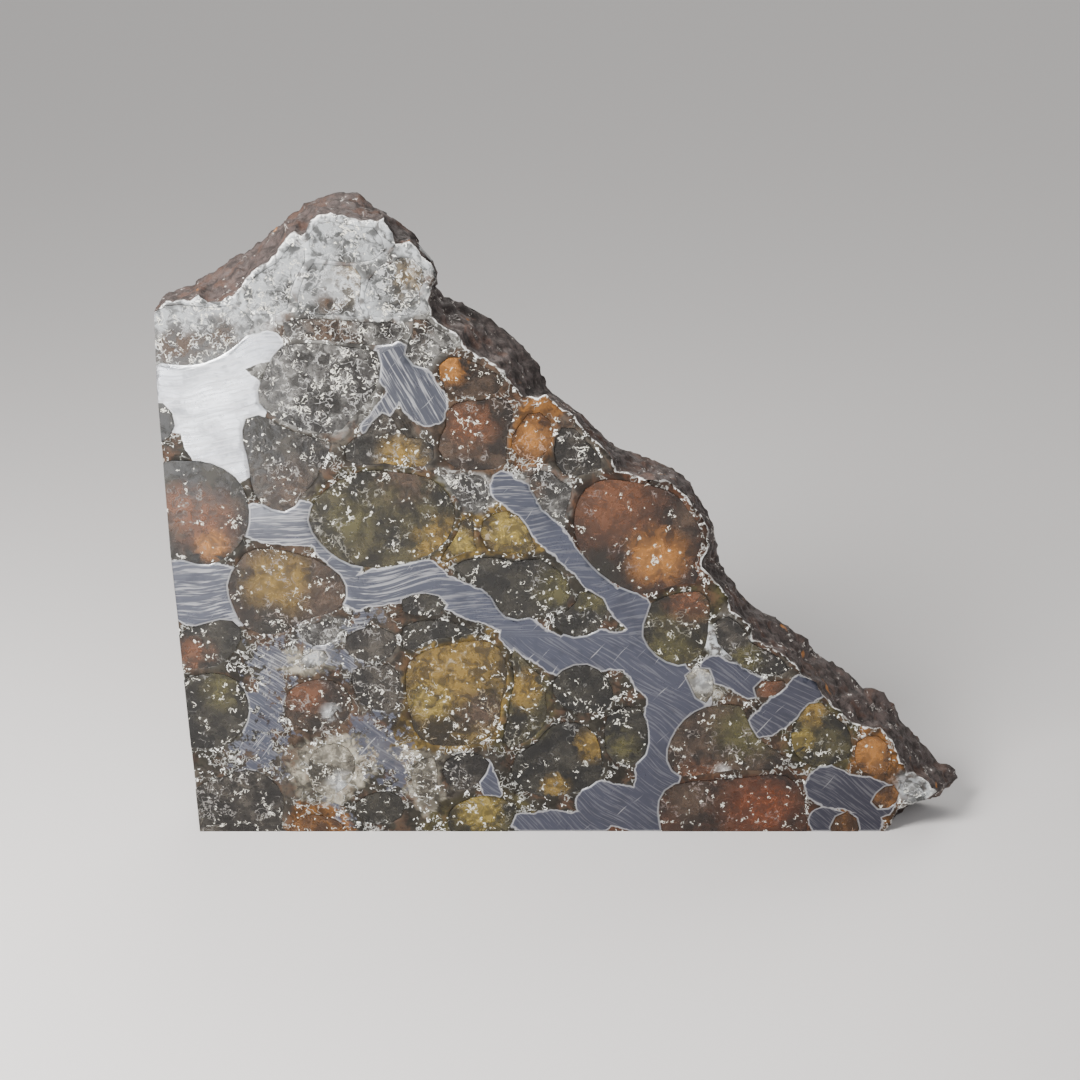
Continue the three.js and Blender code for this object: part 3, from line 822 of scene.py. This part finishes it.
def store_rim(piece):
    """Stores the distance in millimetres to the nearest point of the front face's broken rim."""
    points = piece.data.vertices
    front = [i for i in RIM_POINTS if points[i].co.y < 0]
    near = KDTree(len(front))
    for number, index in enumerate(front):
        near.insert(points[index].co, number)
    near.balance()
    gaps = [near.find(point.co)[2] / MM for point in points]
    piece.data.attributes.new(RIM_GAP, "FLOAT", "POINT").data.foreach_set("value", gaps)
    return len(front)


print("rim points in front:", store_rim(metal))

# %% Painted glints along that rim
RIM_GLINT_RAGGED = 0.18
RIM_GLINT_EDGE = (0.0, -0.08)
RIM_GLINT_BLOTCH = (0.0, 0.8)
RIM_GLINT_SHARE = (0.25, 0.9)


def rim_light(tree, seen):
    """How much of the painted glints along the rim shows at a place."""
    ragged = sums(tree, "MULTIPLY", seen["Fleck"], RIM_GLINT_RAGGED)
    ragged = sums(tree, "SUBTRACT", stored(tree, RIM_GAP), ragged)
    broken = ramped(tree, seen["Blotch"], *RIM_GLINT_BLOTCH, *RIM_GLINT_SHARE)
    return sums(tree, "MULTIPLY", ramped(tree, ragged, *RIM_GLINT_EDGE), broken)


print("crumbs fade over, mm:", -RIM_GLINT_EDGE[1])

# %% [markdown]
# ## Where the bare metal lies
# Between the crystals the slice isn't all metal. Much of it is crushed olivine, so the metal is drawn
# as strands: each runs from one spot to another with a rounded width. A group gives how deep a place
# lies in a strand, and keeps the deepest of those before it, so that strands flow into one another.

# %% Node group: one strand of metal
OUTSIDE = -9.0

tree, given, result = new_group(
    "metal_strand",
    {"Place": (0, 0, 0), "Start": (0, 0, 0), "Run": (1, 0, 0), "Width": 1.0, "Before": OUTSIDE},
    ("Depth",),
)
away = vectors(tree, "SUBTRACT", {0: given["Place"], 1: given["Start"]})
along = vectors(tree, "DOT_PRODUCT", {0: away, 1: given["Run"]}, "Value")
whole = vectors(tree, "DOT_PRODUCT", {0: given["Run"], 1: given["Run"]}, "Value")
share = sums(tree, "DIVIDE", along, whole, clamp=True)
foot = vectors(tree, "SCALE", {0: given["Run"], "Scale": share})
aside = vectors(tree, "SUBTRACT", {0: away, 1: foot})
depth = sums(tree, "SUBTRACT", given["Width"], vectors(tree, "LENGTH", {0: aside}, "Value"))
tree.links.new(sums(tree, "MAXIMUM", depth, given["Before"]), result["Depth"])
metal_strand = tree
print("group:", metal_strand.name)

# %% [markdown]
# The strands are named by the spots of the photograph that they join. Only directions across the face
# count: a strand goes right through the slice, as metal does, so depth is left out of the distance.

# %% Strands of metal and of silvery glare
BASE_LENGTH = 46
BASE_PIXELS = 685
PIXEL = BASE_LENGTH / BASE_PIXELS
METAL_STRANDS = [
    # the bright patch at the left, and the blade beside it
    ((165, 378), (268, 345), 15), ((185, 398), (228, 402), 36), ((205, 425), (224, 462), 26),
    ((393, 362), (426, 404), 21), ((368, 428), (392, 400), 8),
    # between rust, amber and green
    ((256, 522), (305, 528), 19), ((302, 514), (348, 568), 14), ((178, 578), (224, 582), 19),
    ((190, 608), (230, 612), 19), ((356, 592), (428, 578), 19), ((424, 584), (502, 614), 17),
    # the long branch down the middle
    ((505, 486), (522, 502), 15), ((522, 505), (562, 546), 13), ((562, 548), (626, 610), 11),
    ((622, 603), (642, 618), 17), ((520, 634), (562, 658), 19), ((576, 650), (640, 652), 21),
    ((642, 652), (684, 702), 27), ((668, 702), (655, 790), 22), ((600, 802), (650, 812), 24),
    ((522, 822), (600, 822), 12), ((484, 768), (492, 792), 9),
    # right of the branch
    ((712, 668), (752, 686), 14), ((765, 724), (806, 690), 17), ((826, 786), (874, 800), 22),
    ((822, 820), (870, 825), 14),
]
# scratched grey metal at the lower left, mixed with crushed olivine
MIXED_STRANDS = [
    ((272, 655), (262, 760), 27), ((250, 700), (252, 800), 22), ((368, 728), (398, 772), 27),
    ((352, 632), (372, 600), 14), ((330, 800), (345, 826), 10), ((300, 640), (350, 660), 18),
]
GLARE_STRANDS = [
    ((165, 312), (262, 296), 17), ((256, 284), (318, 232), 22), ((325, 222), (385, 232), 20),
    ((330, 270), (372, 300), 12), ((405, 250), (425, 268), 8), ((712, 640), (740, 650), 12),
    ((900, 792), (925, 790), 12),
]
ACROSS = (1, 0, 1)


def across_face(tree, place):
    """The place with its depth left out."""
    return vectors(tree, "MULTIPLY", {0: place, 1: ACROSS})


def strands(tree, flat_place, joined):
    """How deep a place lies in the strands, in millimetres: below zero is outside."""
    depth = OUTSIDE
    for start, end, width in joined:
        low, high = on_face(*start), on_face(*end)
        low.y = high.y = 0
        wanted = {"Place": flat_place, "Start": low, "Run": high - low, "Width": width * PIXEL}
        depth = group_node(tree, metal_strand, {**wanted, "Before": depth})["Depth"]
    return depth


print("strands of metal:", len(METAL_STRANDS), "of glare:", len(GLARE_STRANDS))

# %% [markdown]
# The upper left corner is frosted by its broken surface and glares in the light. A pale grey, part frost
# and part painted glare, is laid over whatever colour is below, in ragged strands of its own.

# %% Glare
GLARE_COLOUR = colour(0.38, 0.4, 0.41)
GLARE_RAGGED = 1.2
GLARE_EDGE = (-0.9, 1.0)
GLARE_FLECK = (0.1, 0.8)
GLARE_SHARE = (0.1, 1.0)


def with_glare(tree, flat_place, seen, body):
    """The body colour, with pale grey laid over in ragged strands: the frost of the broken surface and
    painted glare.
    """
    ragged = sums(tree, "MULTIPLY", off_middle(tree, seen["Blotch"]), GLARE_RAGGED)
    deep = sums(tree, "ADD", strands(tree, flat_place, GLARE_STRANDS), ragged)
    flecked = ramped(tree, seen["Fleck"], *GLARE_FLECK, *GLARE_SHARE)
    share = sums(tree, "MULTIPLY", ramped(tree, deep, *GLARE_EDGE), flecked)
    return blended(tree, share, body, GLARE_COLOUR)


print("glare edge, mm:", GLARE_EDGE)

# %% [markdown]
# ## Polished metal and crushed olivine
# The net has one material. Inside the strands it is metal with fine parallel scratches. A painted
# highlight makes it bright at the upper left, where the lamp glares on it, and falls off to slate towards
# the lower right. Where it meets a crystal, and along its base, a pale line is painted as a highlight.
# Elsewhere it is crushed olivine, with bright curls and painted glints.

# %% Material of the net: where it is metal
WOBBLE_GRAIN = (0.8, 3.0)
WOBBLE_REACH = 0.9
MIXED_GRAIN = (1.6, 4.0, 0.7)
MIXED_MIDDLE = 0.54
MIXED_REACH = 9
MIXED_EDGE = (0.1, 0.9)
MIXED_MOST = 0.85
METAL_EDGE = (-0.04, 0.04)

polished_net, tree, shader, place = new_material("polished_net")
flat_place = across_face(tree, place)
wobble = off_middle(tree, noise(tree, place, *WOBBLE_GRAIN))
wobble = sums(tree, "MULTIPLY", wobble, WOBBLE_REACH)
depth = sums(tree, "ADD", strands(tree, flat_place, METAL_STRANDS), wobble)
mixed = sums(tree, "SUBTRACT", noise(tree, place, *MIXED_GRAIN), MIXED_MIDDLE)
mixed = sums(tree, "MULTIPLY", mixed, MIXED_REACH)
mixed = sums(tree, "ADD", strands(tree, flat_place, MIXED_STRANDS), mixed)
mixed = ramped(tree, mixed, *MIXED_EDGE, 0, MIXED_MOST)
is_metal = sums(tree, "MAXIMUM", ramped(tree, depth, *METAL_EDGE), mixed)
print("material:", polished_net.name)

# %% Material of the net: the painted highlight line at the metal's edges
HIGHLIGHT_INNER_EDGE = (0.14, 0.06)
HIGHLIGHT_OUTER_EDGE = (-0.08, -0.02)
HIGHLIGHT_AT_OLIVINE = (0.17, 0.08)
HIGHLIGHT_AT_BASE = (0.16, 0.06)

strand_edge_highlight = ramped(tree, depth, *HIGHLIGHT_INNER_EDGE)
strand_edge_highlight = sums(tree, "MULTIPLY", strand_edge_highlight, ramped(tree, depth, *HIGHLIGHT_OUTER_EDGE))
olivine_edge_highlight = ramped(tree, stored(tree, RIDGE_GAP), *HIGHLIGHT_AT_OLIVINE)
height = put(tree, "ShaderNodeSeparateXYZ", {"Vector": place}).outputs["Z"]
# Painted highlight along the metal's edges: inside each strand, next to the olivine, and along the base
painted_edge_highlight = sums(tree, "MAXIMUM", strand_edge_highlight, olivine_edge_highlight)
painted_edge_highlight = sums(tree, "MAXIMUM", painted_edge_highlight, ramped(tree, height, *HIGHLIGHT_AT_BASE))
print("pale line at olivine, mm:", HIGHLIGHT_AT_OLIVINE[0])

# %% [markdown]
# Polished metal shows what it mirrors more than a colour of its own, so the lamp's glare is painted into
# its colour. A painted highlight is bright round one spot at the upper left and falls off to slate with
# the distance from it, through a colour ramp.

# %% Material of the net: painted highlight on the metal
PAINTED_HIGHLIGHT_SPOT = on_face(214, 398)
PAINTED_HIGHLIGHT_SPOT.y = 0
HIGHLIGHT_FALLOFF = 50
# Painted highlight: bright at the spot, falling off to slate far from it
PAINTED_HIGHLIGHT_TONES = [
    (0.0, (0.8, 0.83, 0.87)), (0.1, (0.66, 0.69, 0.74)), (0.15, (0.25, 0.26, 0.29)),
    (0.19, (0.105, 0.11, 0.13)), (0.3, (0.098, 0.105, 0.13)), (0.45, (0.09, 0.098, 0.13)),
    (0.7, (0.085, 0.09, 0.12)), (1.0, (0.06, 0.06, 0.078)),
]

reach = vectors(tree, "DISTANCE", {0: flat_place, 1: PAINTED_HIGHLIGHT_SPOT}, "Value")
ramp = put(tree, "ShaderNodeValToRGB", {"Fac": straight(tree, reach, 0, HIGHLIGHT_FALLOFF)})
stops = ramp.color_ramp.elements
stops[0].color = colour(*PAINTED_HIGHLIGHT_TONES[0][1])
stops[1].color = colour(*PAINTED_HIGHLIGHT_TONES[-1][1])
for position, shade in PAINTED_HIGHLIGHT_TONES[1:-1]:
    stops.new(position).color = colour(*shade)
highlight_tone = ramp.outputs["Color"]
print("tones of the metal:", len(PAINTED_HIGHLIGHT_TONES))

# %% [markdown]
# The scratches run in parallel, but not the same way everywhere: nearly level at the top, steeper low
# down, and steepest on the single blade of metal. A noise stretched along the scratch draws them.

# %% Material of the net: scratches
STREAK_STRETCH = (3.3, 1, 0.15)
STREAK_TURNS = {"high up": -6, "low down": 36, "blade": 62, "rare": -50}
BOW = {"scale": 0.16, "amount": 2.2}
LOW_DOWN = (14.6, 14.2)
BLADE = on_face(412, 392)
BLADE.y = 0
BLADE_EDGE = (3.4, 3.0)
HIGHLIGHT_SCRATCH_REACH = (15, 24)
HIGHLIGHT_SCRATCH_SHARE = (1.0, 0.25)
STREAK_GRAINS = {"scratch": (1.0, 3.0, 0.65), "rare": (0.8, 2.0), "dull": (0.6, 4.0, 0.7)}
STREAK_EDGES = {"scratch": (0.5, 0.62), "rare": (0.68, 0.73), "dull": (0.46, 0.66)}


def streaks(tree, place, where):
    """The place, turned and then stretched, so that a noise read there is made of long streaks."""
    turn = (0, math.radians(STREAK_TURNS[where]), 0)
    inputs = {"Vector": place, "Rotation": turn, "Scale": STREAK_STRETCH}
    return put(tree, "ShaderNodeMapping", inputs, vector_type="TEXTURE").outputs[0]


def streaked(tree, place, name):
    """One kind of streak, from nothing to full."""
    return ramped(tree, noise(tree, place, *STREAK_GRAINS[name]), *STREAK_EDGES[name])


near_blade = vectors(tree, "DISTANCE", {0: flat_place, 1: BLADE}, "Value")
near_blade = ramped(tree, near_blade, *BLADE_EDGE)
low_down = ramped(tree, height, *LOW_DOWN)
bowed = stirred_by(tree, place, **BOW)
level, steep = streaks(tree, bowed, "high up"), streaks(tree, bowed, "low down")
streaky = blended(tree, low_down, level, steep, PLACE_MIX)
streaky = blended(tree, near_blade, streaky, streaks(tree, place, "blade"), PLACE_MIX)
# Scratches and dull patches are drawn fully near the painted highlight spot and fade with the distance
# from it
near_highlight = ramped(tree, reach, *HIGHLIGHT_SCRATCH_REACH, *HIGHLIGHT_SCRATCH_SHARE)
scratch = sums(tree, "MULTIPLY", streaked(tree, streaky, "scratch"), near_highlight)
scratch = sums(tree, "MAXIMUM", scratch, streaked(tree, streaks(tree, bowed, "rare"), "rare"))
dull = sums(tree, "MULTIPLY", streaked(tree, streaky, "dull"), near_highlight)
print("ways that scratches run:", len(STREAK_TURNS))

# %% Material of the net: colour of the metal
CLOUD_GRAIN = (0.6, 4.0, 0.6)
CLOUD_EDGE = (0.48, 0.66)
DARK_METAL = colour(0.06, 0.062, 0.08)
BRIGHT_METAL = colour(1, 1, 1)
DARKEN, LIGHTEN = 0.55, 0.4
DIM_SHARE, SCRATCH_SHARE, HIGHLIGHT_LINE_SHARE = 0.7, 0.7, 0.75

clouds = noise(tree, place, *CLOUD_GRAIN)
# Darker and lighter copies of the painted highlight, for dull patches, scratches and the painted highlight
# line
darker_highlight_tone = blended(tree, DARKEN, highlight_tone, DARK_METAL)
lighter_highlight_tone = blended(tree, LIGHTEN, highlight_tone, BRIGHT_METAL)
dimmed = sums(tree, "MAXIMUM", ramped(tree, clouds, *CLOUD_EDGE), dull)
metal_colour = laid_over(tree, highlight_tone, dimmed, darker_highlight_tone, DIM_SHARE)
metal_colour = laid_over(tree, metal_colour, scratch, lighter_highlight_tone, SCRATCH_SHARE)
# The painted highlight line at the metal's edges
metal_colour = laid_over(tree, metal_colour, painted_edge_highlight, lighter_highlight_tone, HIGHLIGHT_LINE_SHARE)
print("nodes so far:", len(tree.nodes))

# %% [markdown]
# Crushed olivine takes its colour from the nearest crystal, darker in its blotches. Rust, dark flecks,
# painted glare, curls, painted glints along the rim and painted glints of the flakes are then laid over
# it, one after the other.

# %% Material of the net: colour of the crushed olivine
CRUSHED_SHARES = {"Glint Share": 0.3, "Curl Share": 0.45}
CRUSHED = {
    "shadow": colour(0.01, 0.008, 0.006), "rust": colour(0.09, 0.045, 0.025),
    "fleck": colour(0.006, 0.005, 0.004), "curl": colour(0.32, 0.32, 0.3),
    "rim_glint": colour(0.8, 0.8, 0.77), "glint": colour(0.8, 0.8, 0.75),
}
SHADOW_SHARE, RUST_SHARE, CURL_SHARE = 0.75, 0.5, 0.8
# Where four numbers stand together, a range is followed by what its two ends become
DARK_FLECKS = (0.7, 0.0, 0, 0.7)

seen = group_node(tree, inside_olivine, {"Place": place, **CRUSHED_SHARES})
near = stored(tree, RIDGE_COLOUR, "Color")
shaded = blended(tree, SHADOW_SHARE, near, CRUSHED["shadow"])
crushed = blended(tree, seen["Blotch"], shaded, near)
crushed = laid_over(tree, crushed, seen["Stain"], CRUSHED["rust"], RUST_SHARE)
crushed = laid_over(tree, crushed, ramped(tree, seen["Fleck"], *DARK_FLECKS), CRUSHED["fleck"])
crushed = with_glare(tree, flat_place, seen, crushed)
crushed = laid_over(tree, crushed, seen["Curl"], CRUSHED["curl"], CURL_SHARE)
# Painted highlights: glints along the rim, then the glints of the flakes
crushed = laid_over(tree, crushed, rim_light(tree, seen), CRUSHED["rim_glint"])
crushed = laid_over(tree, crushed, seen["Glint"], CRUSHED["glint"])
print("layers of crushed olivine:", len(CRUSHED))

# %% Material of the net: put together
NET_SHEEN = 0.25
ROUGHER_SCRATCH, RAISED_SCRATCH = 0.4, 0.3
NET_ROUGHNESS = (0.3, 0.9, 0.26, 0.5)
NET_BUMP = {"strength": 0.3, "rise": 0.03}

net_colour = blended(tree, is_metal, crushed, metal_colour)
tree.links.new(net_colour, shader.inputs["Base Color"])
tree.links.new(is_metal, shader.inputs["Metallic"])
shader.inputs["Specular IOR Level"].default_value = NET_SHEEN
rough = sums(tree, "ADD", clouds, sums(tree, "MULTIPLY", scratch, ROUGHER_SCRATCH))
tree.links.new(ramped(tree, rough, *NET_ROUGHNESS), shader.inputs["Roughness"])
relief = sums(tree, "ADD", sums(tree, "MULTIPLY", scratch, RAISED_SCRATCH), seen["Height"])
bump(tree, shader, relief, **NET_BUMP)
print("material:", polished_net.name, "nodes:", len(tree.nodes))

# %% [markdown]
# ## The broken skin
# The skin is brown-black crust with rust in its hollows, amber where a broken crystal shows, and a few
# white glints, which are painted highlights, with more painted along the front rim. It is dull, and its
# grain continues below the size of the mesh.

# %% Material: crust
CRUST_SHARES = {"Shift": (31, 7, 3), "Glint Share": 0.07, "Curl Share": 0.08}
CRUST = {
    "dark": colour(0.02, 0.014, 0.012), "light": colour(0.07, 0.05, 0.045),
    "rust": colour(0.085, 0.038, 0.022), "amber": colour(0.36, 0.14, 0.025),
    "rim_glint": colour(0.6, 0.58, 0.55), "glint": colour(0.5, 0.46, 0.42),
}
CRUST_RUST, CRUST_AMBER = 0.55, 0.85
AMBER_GRAIN = (0.7, 1.0)
AMBER_EDGE = (0.7, 0.76)
CRUST_ROUGHNESS = (0, 1, 0.8, 0.5)
CRUST_GRAIN = (5.0, 6.0, 0.7)
CRUST_BUMP = {"strength": 0.7, "rise": 0.12}

broken_skin, tree, shader, place = new_material("broken_skin")
seen = group_node(tree, inside_olivine, {"Place": place, **CRUST_SHARES})
amber_patch = ramped(tree, noise(tree, place, *AMBER_GRAIN), *AMBER_EDGE)
white = sums(tree, "MAXIMUM", seen["Glint"], seen["Curl"])
crust = blended(tree, seen["Fleck"], CRUST["dark"], CRUST["light"])
crust = laid_over(tree, crust, seen["Stain"], CRUST["rust"], CRUST_RUST)
crust = laid_over(tree, crust, amber_patch, CRUST["amber"], CRUST_AMBER)
# Painted highlights: glints along the rim, then glints and curls in pale colour
crust = laid_over(tree, crust, rim_light(tree, seen), CRUST["rim_glint"])
crust = laid_over(tree, crust, white, CRUST["glint"])
tree.links.new(crust, shader.inputs["Base Color"])
tree.links.new(ramped(tree, seen["Fleck"], *CRUST_ROUGHNESS), shader.inputs["Roughness"])
bump(tree, shader, noise(tree, place, *CRUST_GRAIN), **CRUST_BUMP)
print("material:", broken_skin.name, "nodes:", len(tree.nodes))

# %% Give the net its two materials
metal.data.materials.clear()
metal.data.materials.append(polished_net)
metal.data.materials.append(broken_skin)
select_only(metal)
bpy.ops.object.mode_set(mode="EDIT")
bpy.ops.mesh.select_mode(type="FACE")
bpy.ops.mesh.select_all(action="SELECT")
metal.active_material_index = 0
bpy.ops.object.material_slot_assign()
pick_faces(metal, "skin")
metal.active_material_index = 1
bpy.ops.object.material_slot_assign()
bpy.ops.object.mode_set(mode="OBJECT")
print("crust faces:", sum(p.material_index == 1 for p in metal.data.polygons))

# %% [markdown]
# ## The crystals
# Every crystal is a node of its own and gets a material of its own. All share one recipe: two body colours
# in blotches, soft spots of painted colour where light comes through, and curls and painted glints on top.
# The silver ones also get painted glare. The stone lets some light pass, bends it as olivine does, and
# soaks up the blue.

# %% The recipe for one crystal
OLIVINE_IOR = 1.67
SHEEN = 0.2
LIGHT_LET_THROUGH = 0.3
SOAK_COLOUR = (0.8, 0.62, 0.28, 1)
SOAK_DENSITY = 1100.0
SHIFT_STEP = (13.7, 5.1, 9.3)
SOFT_EDGE = (1.4, 0.2)
SPOT_SWAY = 0.8
SHADOW_DEPTH = 0.3
FLECK_EDGE = (0.8, 0.0)
CURL_GAIN, CURL_LIFT, CURL_STRENGTH = 1.5, 0.16, 0.8
PAINTED_GLINT_COLOUR = colour(0.82, 0.8, 0.7)
POLISH = (0, 1, 0.1, 0.3)
CRYSTAL_BUMP = {"strength": 0.3, "rise": 0.04}


def with_soft_spots(tree, place, seen, body, glows):
    """The body colour, with soft spots where light comes through."""
    for column, row, reach, tint in glows:
        spot = on_face(column, row)
        spot.y = 0
        gap = vectors(tree, "DISTANCE", {0: place, 1: spot}, "Value")
        gap = sums(tree, "ADD", gap, sums(tree, "MULTIPLY", seen["Stain"], SPOT_SWAY))
        share = ramped(tree, gap, *[reach * PIXEL * edge for edge in SOFT_EDGE])
        body = blended(tree, share, body, colour(*GLOWS[tint]))
    return body


def crystal_material(name, number, family, glows):
    """A glassy material for one crystal, from its family's colours and its own soft spots."""
    look = FAMILIES[family]
    material, tree, shader, place = new_material(name)
    # The silvery summit is one granular mass, so its pattern runs on from crystal to crystal
    shift = [0 if family == "silver" else number * step for step in SHIFT_STEP]
    wanted = {"Place": place, "Shift": shift, "Glint Share": look["glints"], "Curl Share": look["curls"]}
    seen = group_node(tree, inside_olivine, wanted)
    flat_place = across_face(tree, place)
    body = blended(tree, seen["Blotch"], colour(*look["dark"]), colour(*look["light"]))
    body = with_soft_spots(tree, flat_place, seen, body, glows)
    shadow = [channel * SHADOW_DEPTH for channel in look["dark"]]
    dark_flecks = ramped(tree, seen["Fleck"], *FLECK_EDGE, 0, look["grain"])
    body = laid_over(tree, body, dark_flecks, colour(*shadow))
    # Painted glare and frost laid over the silver crystals
    if family == "silver":
        body = with_glare(tree, flat_place, seen, body)
    pale_curl = [min(1, channel * CURL_GAIN + CURL_LIFT) for channel in look["light"]]
    body = laid_over(tree, body, seen["Curl"], colour(*pale_curl), CURL_STRENGTH)
    # Painted glints: highlights of the flakes, laid in as pale colour
    body = laid_over(tree, body, seen["Glint"], PAINTED_GLINT_COLOUR)
    tree.links.new(body, shader.inputs["Base Color"])
    tree.links.new(ramped(tree, seen["Fleck"], *POLISH), shader.inputs["Roughness"])
    shader.inputs["IOR"].default_value = OLIVINE_IOR
    shader.inputs["Transmission Weight"].default_value = LIGHT_LET_THROUGH
    shader.inputs["Specular IOR Level"].default_value = SHEEN
    bump(tree, shader, seen["Height"], **CRYSTAL_BUMP)
    soak = put(tree, "ShaderNodeVolumeAbsorption", {"Color": SOAK_COLOUR, "Density": SOAK_DENSITY})
    tree.links.new(soak.outputs[0], tree.nodes["Material Output"].inputs["Volume"])
    return material


for number, (key, (family, glows)) in enumerate(LOOKS.items()):
    node = NODES[CRYSTAL_PREFIX + key]
    node.data.materials.clear()
    node.data.materials.append(crystal_material(f"olivine_finish_{key}", number, family, glows))
print("crystal materials:", len(LOOKS))
